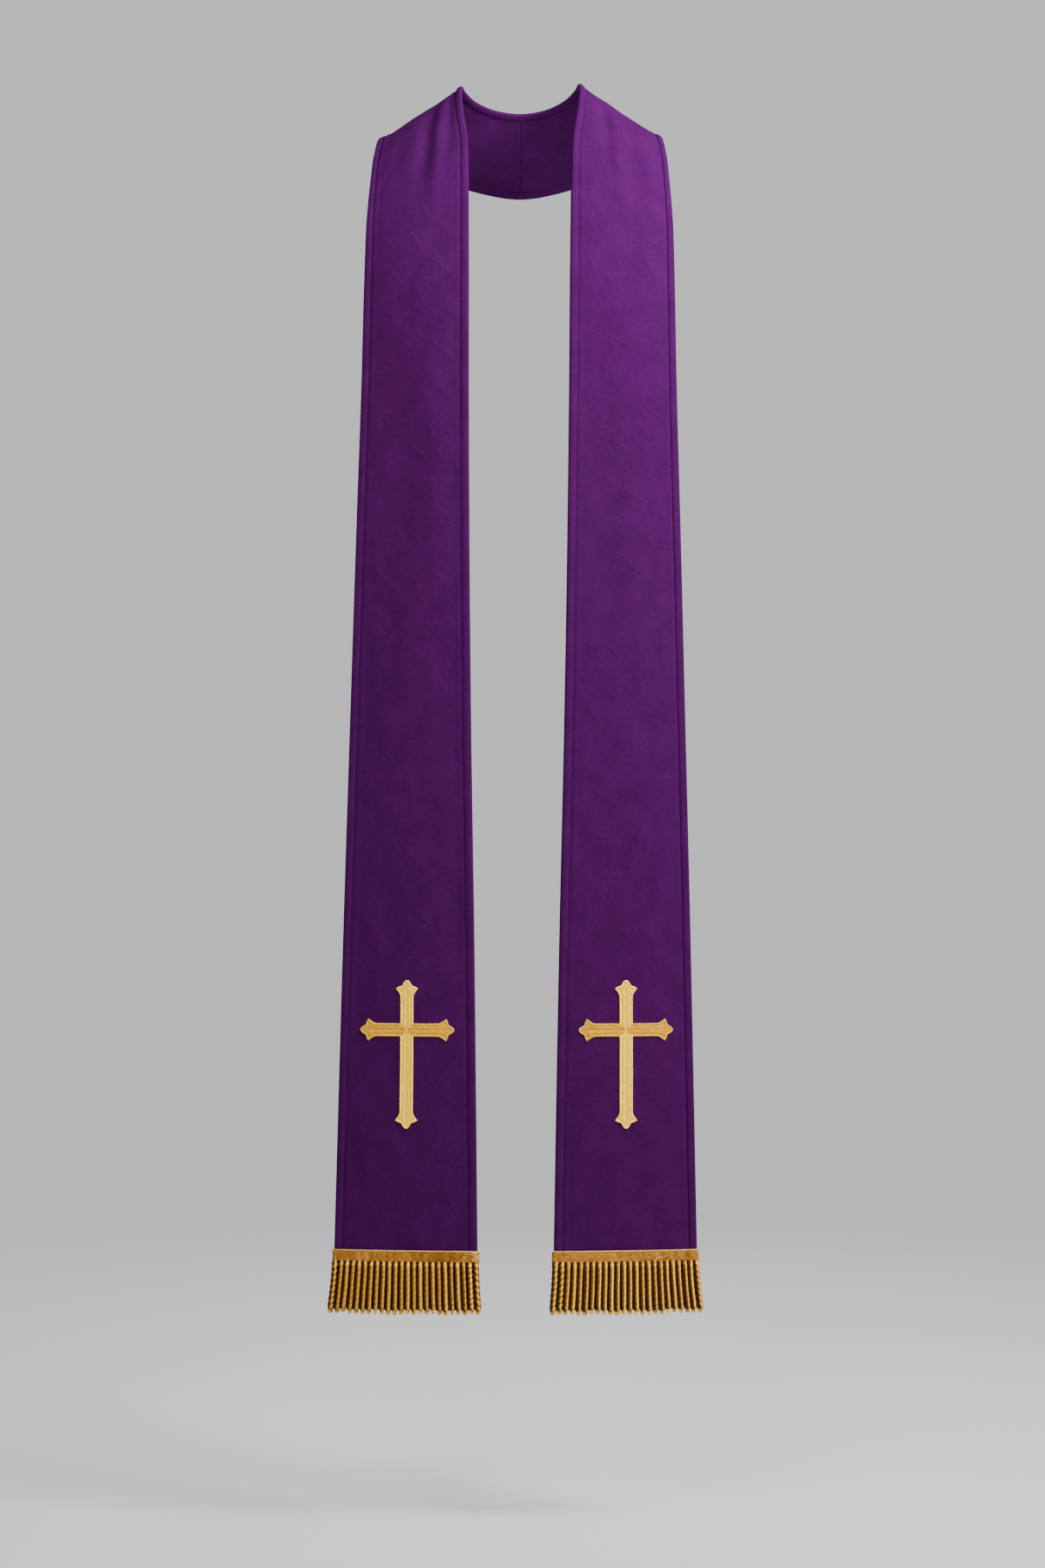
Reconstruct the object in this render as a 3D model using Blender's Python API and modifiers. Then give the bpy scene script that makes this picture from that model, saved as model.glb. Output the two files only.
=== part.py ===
"""A clerical stole, held in the shape that it has when it is worn.

Frame: metres, +Z up, the wearer faces -Y, and the wearer's left is +X. The origin is the middle of the
wearer's neck, level with the highest point of the cloth on the shoulders. Run with:
    blender --background --python part.py
"""

import math

import bmesh
import bpy
import numpy as np

MM = 0.001

# ---------------------------------------------------------------- driving sizes, in millimetres
CLOTH_THICK = 2.0           # face cloth, interlining and backing, sewn as one wall
SEAM_GAP = 0.3              # between pieces that are sewn to each other
BACK_GAP = 0.6              # behind the cloth, where the binding and the heading turn to the back
BINDING_WIDTH = 7.6         # the narrow self-cloth binding of both long edges
BINDING_THICK = 0.9
HEADER_HEIGHT = 14.0        # the woven gold heading that carries the fringe
HEADER_THICK = 1.8
HEADER_OVERLAP = 11.0       # how much of the hem lies behind the heading
HEADER_RETURN = 9.0         # the heading's ends turn round to the back of the hem
HEADER_COLUMNS = 13         # points across the heading's front
STRAND_COUNT = 24           # bullion strands under each heading
STRAND_DIAMETER = 4.9
STRAND_LENGTH = 54.0
STRAND_ROOT = 1.6           # how far a strand's root runs up into the heading
STRAND_TWIST = 0.8          # quarter turns of a strand from root to tip
OUTER_SPLAY = 4.2           # how far the outermost strand's tip leans out
INNER_SPLAY = 2.2
SWAY = -5.0                 # both fronts hang this far to the wearer's right at the hem
SHOULDER_DROP = {"left": 0.0, "right": 2.6}    # how much lower each shoulder is held

CROSS_THICK = 1.2
CROSS_HEIGHT_Z = -1035.8    # height of the crossing of the two bars
CROSS_ARM = {"top": 53.1, "side": 50.7, "foot": 105.0}
CROSS_BAR = 14.2            # width of both bars
BUD_LENGTH, BUD_WIDTH = 6.5, 10.4
CUSP_FROM_TIP, CUSP_WIDTH = 9.2, 23.2
FLARE_FROM_TIP = 16.0
BUD_TIP = 0.4               # the bud's round end is cut this far from the tip
CROSS_ROW = 12.0            # most distance between rows of points along a bar

# Sections across one half, from the seam at the centre of the back, over the shoulder, to the hem.
# Each has its edge at the neck, its outer edge, how far its middle bows outwards, and the number of
# steps to the next one.
SECTION_COLUMNS = ("name", "inner_x", "inner_y", "inner_z", "outer_x", "outer_y", "outer_z", "bow", "steps")
SECTIONS = (
    ("centre_back",     0.0,   66.0,   -22.0,   0.0,  106.0,  -110.0,  4.0, 2),
    ("nape",           27.0,   60.2,   -19.0,  52.0,   99.0,  -102.0,  4.0, 2),
    ("shoulder_blade", 49.0,   44.2,   -11.5,  98.0,   79.0,   -87.0,  3.5, 3),
    ("shoulder_back",  62.0,   23.0,    -2.5, 134.0,   43.0,   -70.0,  2.0, 3),
    ("shoulder_ridge", 65.2,    3.0,     0.0, 154.5,    4.0,   -58.5, -0.4, 3),
    ("shoulder_front", 65.6,  -16.0,   -11.0, 160.0,  -22.0,   -80.0,  2.0, 3),
    ("collar_side",    63.2,  -33.0,   -33.5, 162.5,  -42.0,  -108.0,  4.5, 2),
    ("collar_base",    58.6,  -51.0,   -64.0, 164.4,  -58.0,  -136.0,  6.0, 2),
    ("collarbone",     56.6,  -77.0,  -111.0, 166.0,  -71.0,  -166.0,  7.0, 3),
    ("upper_chest",    55.8, -101.0,  -167.0, 166.8,  -82.5,  -204.0,  7.0, 3),
    ("chest",          55.2, -119.0,  -230.0, 167.6,  -92.0,  -250.0,  6.5, 4),
    ("breast",         54.7, -129.5,  -330.0, 169.0, -102.0,  -336.0,  6.0, 5),
    ("waist",          53.6, -134.0,  -480.0, 173.1, -109.0,  -480.0,  5.5, 5),
    ("hip",            50.5, -137.5,  -720.0, 179.7, -115.5,  -720.0,  5.5, 6),
    ("thigh",          46.3, -142.0,  -940.0, 185.6, -121.5,  -940.0,  5.0, 5),
    ("knee",           43.6, -146.5, -1120.0, 189.8, -127.5, -1120.0,  5.0, 6),
    ("hem",            41.4, -150.5, -1281.5, 193.4, -132.5, -1281.5,  5.0, 2),
    ("fringe_tip",     40.4, -152.2, -1345.0, 194.8, -134.4, -1345.0,  5.0, 0),
)

# The largest folds. Distances run along the cloth from the centre of the back, and the two shares say
# where the fold starts and ends between the neck edge (0) and the outer edge (1). A negative height is a
# trough.
FOLD_COLUMNS = ("half", "start", "end", "start_share", "end_share", "half_width", "height")
FOLDS = (
    ("left",  130.0,  300.0, 0.20, 0.44,  9.0, -3.0),
    ("left",  136.0,  350.0, 0.30, 0.54, 10.0,  2.4),
    ("left",  140.0,  330.0, 0.52, 0.66, 12.0, -2.2),
    ("left",  150.0,  360.0, 0.76, 0.82, 12.0,  1.4),
    ("left",  420.0,  820.0, 0.30, 0.24, 20.0, -1.4),
    ("left",  440.0,  900.0, 0.66, 0.56, 24.0,  1.6),
    ("left",  900.0, 1250.0, 0.34, 0.40, 26.0, -1.4),
    ("right", 126.0,  290.0, 0.02, 0.27,  9.0, -2.6),
    ("right", 130.0,  310.0, 0.26, 0.52, 10.0, -3.2),
    ("right", 150.0,  350.0, 0.16, 0.38,  9.0,  2.2),
    ("right", 150.0,  380.0, 0.64, 0.76, 14.0, -1.8),
    ("right", 330.0,  760.0, 0.30, 0.26, 20.0,  1.6),
    ("right", 420.0,  900.0, 0.62, 0.70, 22.0, -1.6),
    ("right", 880.0, 1240.0, 0.42, 0.36, 26.0,  1.4),
)

CLOTH_COLUMNS = (0.0, 0.10, 0.20, 0.30, 0.40, 0.50, 0.60, 0.70, 0.83, 1.0)   # between the two bindings
HALVES = {"left": 1.0, "right": -1.0}    # the wearer's left is at +X

PURPLE = (0.115, 0.020, 0.165)
GOLD = (0.560, 0.300, 0.070)
LIGHT_GOLD = (0.700, 0.440, 0.150)


def column(table, names, wanted):
    """One named column of a table, as an array."""
    return np.array([row[names.index(wanted)] for row in table])


# ---------------------------------------------------------------- the surface of the cloth
def section_points(edge):
    """The table's points of one edge, mirrored past the centre back so that the curve is smooth there."""
    half = np.stack([column(SECTIONS, SECTION_COLUMNS, f"{edge}_{axis}") for axis in "xyz"], axis=1)
    return np.concatenate([half[:0:-1] * (-1, 1, 1), half])


def section_distances():
    """How far along the cloth each section lies from the centre back, negative on the mirrored side."""
    middle = (section_points("inner") + section_points("outer")) / 2
    steps = np.linalg.norm(np.diff(middle, axis=0), axis=1)
    along = np.concatenate([[0.0], np.cumsum(steps)])
    return along - along[len(SECTIONS) - 1]


DISTANCES = section_distances()
ROW_NAMES = [row[0] for row in SECTIONS]
ROW_DISTANCE = dict(zip(ROW_NAMES, DISTANCES[len(SECTIONS) - 1:]))
HEM = ROW_DISTANCE["hem"]
HEADER_TOP = HEM - HEADER_OVERLAP


def smooth(values, along):
    """A cubic through the sections' values, with the slope at each from its two neighbours."""
    gaps = np.diff(DISTANCES)[:, None]
    chords = np.diff(values, axis=0) / gaps
    inner = (chords[1:] * gaps[:-1] + chords[:-1] * gaps[1:]) / (gaps[1:] + gaps[:-1])
    slopes = np.concatenate([chords[:1], inner, chords[-1:]])
    cell = np.clip(np.searchsorted(DISTANCES, along, side="right") - 1, 0, len(DISTANCES) - 2)
    width = gaps[cell]
    u = ((along - DISTANCES[cell])[:, None]) / width
    return (
        values[cell] * (1 + 2 * u) * (1 - u) ** 2
        + values[cell + 1] * u ** 2 * (3 - 2 * u)
        + slopes[cell] * width * u * (1 - u) ** 2
        + slopes[cell + 1] * width * u ** 2 * (u - 1)
    )


def fold_height(half, along, share, width):
    """The height of all the folds of one half: each is a bell across the cloth and a swell along it."""
    total = np.zeros_like(along)
    for side, start, end, start_share, end_share, half_width, height in FOLDS:
        if side != half:
            continue
        run = np.clip((along - start) / (end - start), 0.0, 1.0)
        centre = start_share + (end_share - start_share) * run
        across = (share - centre) * width / half_width
        total += height * np.sin(math.pi * run) ** 2 * np.exp(-across ** 2)
    return total


def cloth_points(half, along, share):
    """Points of the outer face, in millimetres, for equal arrays of distance along and share across."""
    shape = along.shape
    along, share = along.ravel(), share.ravel()
    inner, outer = smooth(section_points("inner"), along), smooth(section_points("outer"), along)
    bows = column(SECTIONS, SECTION_COLUMNS, "bow").astype(float)
    bow = smooth(np.concatenate([bows[:0:-1], bows])[:, None], along)[:, 0]
    centres = (section_points("inner") + section_points("outer")) / 2
    reach = 1.0
    down = smooth(centres, along + reach) - smooth(centres, along - reach)
    across = outer - inner
    width = np.linalg.norm(across, axis=1)
    normal = np.cross(down, across)
    normal /= np.linalg.norm(normal, axis=1)[:, None]
    rise = 4 * bow * share * (1 - share) + fold_height(half, along, share, width)
    points = inner + across * share[:, None] + normal * rise[:, None]
    over_shoulder = np.clip(along / (2 * ROW_DISTANCE["shoulder_ridge"]), 0.0, 1.0)
    points[:, 2] -= SHOULDER_DROP[half] * np.sin(math.pi * over_shoulder) ** 2
    points[:, 0] += SEAM_GAP / 2
    points[:, 0] *= HALVES[half]
    points[:, 0] += SWAY * np.clip(-points[:, 2] / 1279.0, 0.0, 1.1)
    return points.reshape(*shape, 3)


def cloth_frame(half, along, share):
    """Points of the outer face with its outward normal, and the direction across towards the outer edge."""
    reach, part = 0.5, 0.004
    point = cloth_points(half, along, share)
    down = cloth_points(half, along + reach, share) - cloth_points(half, along - reach, share)
    across = cloth_points(half, along, share + part) - cloth_points(half, along, share - part)
    normal = np.cross(down, across) * HALVES[half]
    unit = lambda v: v / np.linalg.norm(v, axis=-1)[..., None]
    return point, unit(normal), unit(across)


def width_at(half, along):
    """The straight width of the cloth at each distance along it."""
    ends = [cloth_points(half, along, np.full_like(along, share)) for share in (0.0, 1.0)]
    return np.linalg.norm(ends[1] - ends[0], axis=-1)


def stations(last):
    """Distances along one half for the rows of points, finer where the table asks for more steps."""
    steps = column(SECTIONS, SECTION_COLUMNS, "steps").astype(int)
    starts = DISTANCES[len(SECTIONS) - 1:]
    rows = [np.linspace(a, b, n, endpoint=False) for a, b, n in zip(starts, starts[1:], steps)]
    rows = np.concatenate(rows)
    return np.append(rows[rows < last - 2.0], last)


# ---------------------------------------------------------------- Blender helpers
def empty_the_scene():
    for thing in list(bpy.data.objects):
        bpy.data.objects.remove(thing, do_unlink=True)


def collection(name):
    made = bpy.data.collections.new(name)
    bpy.context.scene.collection.children.link(made)
    return made


def material(name, colour, roughness, metallic=0.0, sheen=0.0):
    made = bpy.data.materials.new(name)
    made.use_nodes = True
    shader = made.node_tree.nodes["Principled BSDF"]
    shader.inputs["Base Color"].default_value = (*colour, 1.0)
    shader.inputs["Roughness"].default_value = roughness
    shader.inputs["Metallic"].default_value = metallic
    shader.inputs["Sheen Weight"].default_value = sheen
    return made


def add_object(name, mesh, target, finish):
    made = bpy.data.objects.new(name, mesh)
    target.objects.link(made)
    mesh.materials.append(finish)
    mesh.shade_smooth()
    mesh.set_sharp_from_angle(angle=math.radians(50))
    return made


def shaped_grid(name, points, target, finish, flipped=False):
    """A grid of faces laid through rows of points in millimetres, as one open surface."""
    rows, columns = points.shape[:2]
    sheet = bmesh.new()
    bmesh.ops.create_grid(sheet, x_segments=columns - 1, y_segments=rows - 1, size=1.0)
    for corner in sheet.verts:
        row = round((corner.co.y + 1) / 2 * (rows - 1))
        place = round((corner.co.x + 1) / 2 * (columns - 1))
        corner.co = points[row, place] * MM
    if flipped:
        bmesh.ops.reverse_faces(sheet, faces=sheet.faces[:])
    mesh = bpy.data.meshes.new(name)
    sheet.to_mesh(mesh)
    sheet.free()
    return add_object(name, mesh, target, finish)


def thicken(piece, thickness, offset):
    """Solidify the open surface of a piece; offset -1 grows it to the back and 1 to the front."""
    wall = piece.modifiers.new("wall", "SOLIDIFY")
    wall.thickness = thickness * MM
    wall.offset = offset
    wall.use_even_offset = True
    return piece


def evaluated_mesh(piece):
    graph = bpy.context.evaluated_depsgraph_get()
    return bpy.data.meshes.new_from_object(piece.evaluated_get(graph))


# ---------------------------------------------------------------- the pieces
def panel(half, target, finish):
    """One half of the stole, cut in one from the centre-back seam, over the shoulder, to the hem."""
    along = stations(HEM)
    width = width_at(half, along)
    rim = BINDING_WIDTH / width
    shares = np.stack([rim + (1 - 2 * rim) * c for c in CLOTH_COLUMNS], axis=1)
    shares = np.concatenate([np.zeros_like(rim)[:, None], shares, np.ones_like(rim)[:, None]], axis=1)
    points = cloth_points(half, np.repeat(along[:, None], shares.shape[1], axis=1), shares)
    piece = shaped_grid(f"panel_{half}", points, target, finish, flipped=half == "left")
    return thicken(piece, CLOTH_THICK, -1)


def binding_rows(half, edge):
    """The binding's inner face: from the front of the cloth, round its edge, to the back, at each station."""
    along = stations(HEADER_TOP - SEAM_GAP)
    edge_share = 0.0 if edge == "neck" else 1.0
    towards_middle = 1.0 if edge == "neck" else -1.0
    inset = edge_share + towards_middle * BINDING_WIDTH / width_at(half, along)
    rim, rim_normal, rim_across = cloth_frame(half, along, np.full_like(along, edge_share))
    field, field_normal, _ = cloth_frame(half, along, inset)
    outwards = -towards_middle * rim_across
    clear, back = SEAM_GAP, CLOTH_THICK + BACK_GAP
    profile = (
        field + clear * field_normal,
        rim + clear * rim_normal,
        rim + clear * outwards - 0.5 * clear * rim_normal,
        rim + clear * outwards - (back - 0.5 * clear) * rim_normal,
        rim - back * rim_normal,
        field - back * field_normal,
    )
    return np.stack(profile, axis=1)


def binding(edge, target, finish):
    """A narrow strip folded over one long edge, in one length from hem to hem round the neck."""
    left, right = binding_rows("left", edge), binding_rows("right", edge)
    middle = (left[:1] + right[:1]) / 2
    rows = np.concatenate([right[:0:-1], middle, left[1:]])
    piece = shaped_grid(f"binding_{edge}_edge", rows, target, finish, flipped=edge == "outer")
    return thicken(piece, BINDING_THICK, 1)


def arm_half_width(from_tip):
    """Half the width of a cross's arm: a round bud, two cusps, and a flare down to the plain bar."""
    bud, cusp, bar = BUD_WIDTH / 2, CUSP_WIDTH / 2, CROSS_BAR / 2
    if from_tip < bud:
        return math.sqrt(bud ** 2 - (bud - max(from_tip, BUD_TIP)) ** 2)
    if from_tip < BUD_LENGTH:
        return bud
    if from_tip < CUSP_FROM_TIP:
        return bud + (cusp - bud) * (from_tip - BUD_LENGTH) / (CUSP_FROM_TIP - BUD_LENGTH)
    run = min((from_tip - CUSP_FROM_TIP) / (FLARE_FROM_TIP - CUSP_FROM_TIP), 1.0)
    return bar + (cusp - bar) * (1 - math.sin(run * math.pi / 2))


def arm_rows(length):
    """Rows of an arm from the crossing to its tip, as distances from the middle of the crossing."""
    bud = BUD_WIDTH / 2
    tip = [bud * (1 - math.cos(math.pi / 2 * k / 3)) for k in range(4)]
    flare = [CUSP_FROM_TIP + (FLARE_FROM_TIP - CUSP_FROM_TIP) * k / 3 for k in range(4)]
    plain = length - CROSS_BAR / 2 - FLARE_FROM_TIP
    count = math.ceil(plain / CROSS_ROW)
    bar = [FLARE_FROM_TIP + plain * k / count for k in range(1, count + 1)]
    return [(length - d, arm_half_width(d)) for d in reversed(tip + [BUD_LENGTH] + flare + bar)]


def add_cross_patch(drawing, rows, ahead):
    """Add a patch three points wide through rows of (distance out, half width), pointing ahead."""
    made = bmesh.ops.create_grid(drawing, x_segments=2, y_segments=len(rows) - 1, size=1.0)
    for corner in made["verts"]:
        out, half_width = rows[round((corner.co.y + 1) / 2 * (len(rows) - 1))]
        aside = corner.co.x * half_width
        corner.co = (ahead[0] * out + ahead[1] * aside, ahead[1] * out - ahead[0] * aside, 0.0)


def cross(half, target, finish):
    """An embroidered cross: four arms round a crossing, laid on the panel just clear of the cloth."""
    drawing = bmesh.new()
    for name, ahead in (("top", (0, 1)), ("side", (1, 0)), ("foot", (0, -1)), ("side", (-1, 0))):
        add_cross_patch(drawing, arm_rows(CROSS_ARM[name]), ahead)
    half_bar = CROSS_BAR / 2
    add_cross_patch(drawing, [(-half_bar, half_bar), (0.0, half_bar), (half_bar, half_bar)], (0, 1))
    bmesh.ops.remove_doubles(drawing, verts=drawing.verts[:], dist=0.01)

    flat = np.array([corner.co[:] for corner in drawing.verts])
    levels = np.linspace(ROW_DISTANCE["thigh"], HEM, 200)
    heights = cloth_points(half, levels, np.full_like(levels, 0.5))[:, 2]
    along = np.interp(-CROSS_HEIGHT_Z, -heights, levels) - flat[:, 1]
    share = 0.5 + HALVES[half] * flat[:, 0] / width_at(half, along)
    point, normal, _ = cloth_frame(half, along, share)
    for corner, place in zip(drawing.verts, point + normal * SEAM_GAP):
        corner.co = place * MM
    mesh = bpy.data.meshes.new(f"cross_{half}")
    drawing.to_mesh(mesh)
    drawing.free()
    return thicken(add_object(f"cross_{half}", mesh, target, finish), CROSS_THICK, 1)


def heading_rows(half):
    """The heading's inner face: across the front of the hem, and turned round both edges to its back."""
    down = np.linspace(HEADER_TOP, HEADER_TOP + HEADER_HEIGHT, 3)
    rows = []
    for distance in down:
        here = np.full(1, distance)
        width = width_at(half, here)[0]
        ends = HEADER_RETURN / width
        front = np.linspace(0.0, 1.0, HEADER_COLUMNS)
        clear, back = SEAM_GAP, CLOTH_THICK + BACK_GAP
        share = np.concatenate([[ends, 0, 0, 0], front, [1, 1, 1, 1 - ends]])
        returned = np.array([-back, -back, clear / 2 - back, -clear / 2])
        lift = np.concatenate([returned, np.full(HEADER_COLUMNS, clear), returned[::-1]])
        out = np.concatenate([[0, 0, -clear, -clear], np.zeros(HEADER_COLUMNS), [clear, clear, 0, 0]])
        point, normal, across = cloth_frame(half, np.full_like(share, distance), share)
        rows.append(point + normal * lift[:, None] + across * out[:, None])
    return np.stack(rows)


def strands(half, target):
    """The bullion strands as one curve object: four-sided twisted tubes that hang from the heading."""
    ropes = bpy.data.curves.new(f"strands_{half}", "CURVE")
    ropes.dimensions = "3D"
    ropes.bevel_depth = STRAND_DIAMETER / 2 * MM
    ropes.bevel_resolution = 0
    ropes.use_fill_caps = True
    ropes.twist_mode = "MINIMUM"
    top = HEADER_TOP + HEADER_HEIGHT - STRAND_ROOT
    width = width_at(half, np.full(1, top))[0]
    edge = (STRAND_DIAMETER / 2 - SEAM_GAP - HEADER_THICK / 2) / width
    # Distance down the strand, and the share of the full radius there.
    tip = STRAND_LENGTH
    rings = ((0.0, 0.72), (2.6, 0.94), (18.0, 1.0), (36.0, 1.0), (tip - 3.4, 1.06), (tip, 0.62))
    for share in np.linspace(edge, 1 - edge, STRAND_COUNT):
        lean = OUTER_SPLAY * max(share - 0.5, 0) * 2 - INNER_SPLAY * max(0.5 - share, 0) * 2
        drops = np.array([ring[0] for ring in rings])
        point, normal, across = cloth_frame(half, top + drops, np.full_like(drops, share))
        lift = SEAM_GAP + HEADER_THICK / 2
        line = point + normal[:1] * lift + across[:1] * (lean * (drops / STRAND_LENGTH) ** 1.5)[:, None]
        rope = ropes.splines.new("POLY")
        rope.points.add(len(rings) - 1)
        for knot, place, (drop, radius) in zip(rope.points, line, rings):
            knot.co = (*(place * MM), 1.0)
            knot.radius = radius
            knot.tilt = math.radians(90) * STRAND_TWIST * drop / STRAND_LENGTH
    drawn = bpy.data.objects.new(f"strand_curves_{half}", ropes)
    target.objects.link(drawn)
    bpy.context.view_layer.update()
    mesh = evaluated_mesh(drawn)
    bpy.data.objects.remove(drawn)
    welded = bmesh.new()
    welded.from_mesh(mesh)
    bmesh.ops.remove_doubles(welded, verts=welded.verts[:], dist=1e-6)
    bmesh.ops.recalc_face_normals(welded, faces=welded.faces[:])
    welded.to_mesh(mesh)
    welded.free()
    made = bpy.data.objects.new(f"strands_{half}", mesh)
    target.objects.link(made)
    made.hide_render = True
    made.display_type = "WIRE"
    return made


def fringe(half, target, helpers, finish):
    """The gold heading with its strands: one body, with the strands' roots fused into the heading."""
    piece = shaped_grid(f"fringe_{half}", heading_rows(half), target, finish, flipped=half == "left")
    thicken(piece, HEADER_THICK, 1)
    root = piece.modifiers.new("strands", "BOOLEAN")
    root.operation = "UNION"
    root.solver = "EXACT"
    root.object = strands(half, helpers)
    return piece


def build():
    empty_the_scene()
    stole = collection("clerical_stole")
    helpers = collection("helpers")
    cloth = material("purple_cloth", PURPLE, 0.75, sheen=0.3)
    edging = material("purple_binding", PURPLE, 0.70, sheen=0.3)
    thread = material("gold_thread", LIGHT_GOLD, 0.45, metallic=0.3)
    bullion = material("gold_bullion", GOLD, 0.40, metallic=0.4)
    for half in HALVES:
        panel(half, stole, cloth)
        cross(half, stole, thread)
        fringe(half, stole, helpers, bullion)
    for edge in ("neck", "outer"):
        binding(edge, stole, edging)


build()
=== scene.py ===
"""The finished looks of a clerical stole: cloth, bindings, embroidered crosses and bullion fringes.

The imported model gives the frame. Shapes are worked out in millimetres and become metres when a mesh is
made. A place on the cloth is a distance along it from the centre-back seam and a share across it, from 0
at the neck edge to 1 at the outer edge. The wearer faces -Y, and the wearer's left is +X.
"""

import logging
import math
from collections.abc import Callable, Sequence
from dataclasses import dataclass, field, replace
from enum import Enum
from typing import Any, NamedTuple

import bmesh
import bpy
import numpy as np
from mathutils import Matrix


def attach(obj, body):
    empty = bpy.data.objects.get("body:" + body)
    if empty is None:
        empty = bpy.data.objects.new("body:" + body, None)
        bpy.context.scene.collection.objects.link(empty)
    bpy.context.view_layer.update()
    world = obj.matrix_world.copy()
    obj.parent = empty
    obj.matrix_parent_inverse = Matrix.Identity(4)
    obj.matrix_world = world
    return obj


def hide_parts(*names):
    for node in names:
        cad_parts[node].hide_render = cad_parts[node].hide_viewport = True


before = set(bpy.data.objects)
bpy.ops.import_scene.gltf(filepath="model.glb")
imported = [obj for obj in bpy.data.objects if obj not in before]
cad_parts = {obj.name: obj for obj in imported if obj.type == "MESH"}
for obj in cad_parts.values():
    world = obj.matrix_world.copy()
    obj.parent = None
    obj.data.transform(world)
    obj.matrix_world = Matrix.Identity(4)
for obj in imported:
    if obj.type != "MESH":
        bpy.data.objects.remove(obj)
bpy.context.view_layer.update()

log = logging.getLogger("stole")
MM = 0.001
BODY = "root"
UV_NAME = "cloth"
TAU = 2 * math.pi
NOISE_LATTICE = 256
WHITE = (1.0, 1.0, 1.0, 1.0)

Array = np.ndarray
Material = bpy.types.Material
Object = bpy.types.Object
Pair = tuple[float, float]
Triple = tuple[float, float, float]
Colour = tuple[float, float, float, float]


class Side(Enum):
    """A choice between two sides."""

    @property
    def label(self) -> str:
        """The side's name as the nodes spell it."""
        return self.name.lower()


class Half(Side):
    """The two halves of the stole, with the sign of X on each."""

    LEFT = 1.0
    RIGHT = -1.0


class Edge(Side):
    """The two long edges, with the share across the cloth where each lies."""

    NECK = 0.0
    OUTER = 1.0


# ---- small helpers on arrays
def smoothstep(value: Array, low: float, high: float) -> Array:
    """A soft step from 0 at low to 1 at high: 3t^2 - 2t^3 of the clipped share t."""
    t = np.clip((value - low) / (high - low), 0.0, 1.0)
    return t * t * (3 - 2 * t)


def bell(value: Array, middle: float, width: float) -> Array:
    """A bell curve that is 1 at its middle: e to the power of -((value - middle) / width)^2."""
    return np.exp(-(((value - middle) / width) ** 2))


def unit(vectors: Array) -> Array:
    """The vectors at length 1."""
    return vectors / np.linalg.norm(vectors, axis=-1)[..., None]


def circle(first: Array, second: Array, angle: Array) -> Array:
    """Points round a circle in the plane of two directions: first * cos(angle) + second * sin(angle)."""
    return first[..., None, :] * np.cos(angle)[:, None] + second[..., None, :] * np.sin(angle)[:, None]


def travelled(points: Array) -> Array:
    """How far each point of a line lies from the first, along the line."""
    return np.concatenate([[0.0], np.cumsum(np.linalg.norm(np.diff(points, axis=0), axis=1))])


def soft_noise(x: Array, y: Array, cell: float, seed: int) -> Array:
    """Value noise from -1 to 1: random numbers on a lattice of that cell, joined by soft steps.

    Args:
        x: First coordinate of each point.
        y: Second coordinate of each point, the same shape.
        cell: Distance between the lattice's points.
        seed: Seed of the lattice's numbers.

    Returns:
        The noise at each point.
    """
    lattice = np.random.default_rng(seed).uniform(-1.0, 1.0, (NOISE_LATTICE, NOISE_LATTICE))
    gx, gy = x / cell, y / cell
    ix, iy = np.floor(gx).astype(int), np.floor(gy).astype(int)
    fx, fy = smoothstep(gx - ix, 0.0, 1.0), smoothstep(gy - iy, 0.0, 1.0)

    def corner(right: int, up: int) -> Array:
        """The lattice's number at one corner of each point's cell."""
        return lattice[(ix + right) % NOISE_LATTICE, (iy + up) % NOISE_LATTICE]

    low = corner(0, 0) * (1 - fx) + corner(1, 0) * fx
    high = corner(0, 1) * (1 - fx) + corner(1, 1) * fx
    return low * (1 - fy) + high * fy


def line_noise(run: Array, cell: float, seed: int) -> Array:
    """Value noise from -1 to 1 along one coordinate."""
    return soft_noise(run, np.zeros_like(run), cell, seed)


# ---- the hanging form of the cloth
@dataclass(frozen=True)
class Section:
    """A section across one half: its neck edge, its outer edge, and how far its middle bows out."""

    name: str
    inner: Triple
    outer: Triple
    bow: float


@dataclass(frozen=True)
class Fold:
    """A large fold: where it starts and ends along and across the cloth, its half width and height."""

    start: float
    end: float
    start_share: float
    end_share: float
    half_width: float
    height: float


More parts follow.
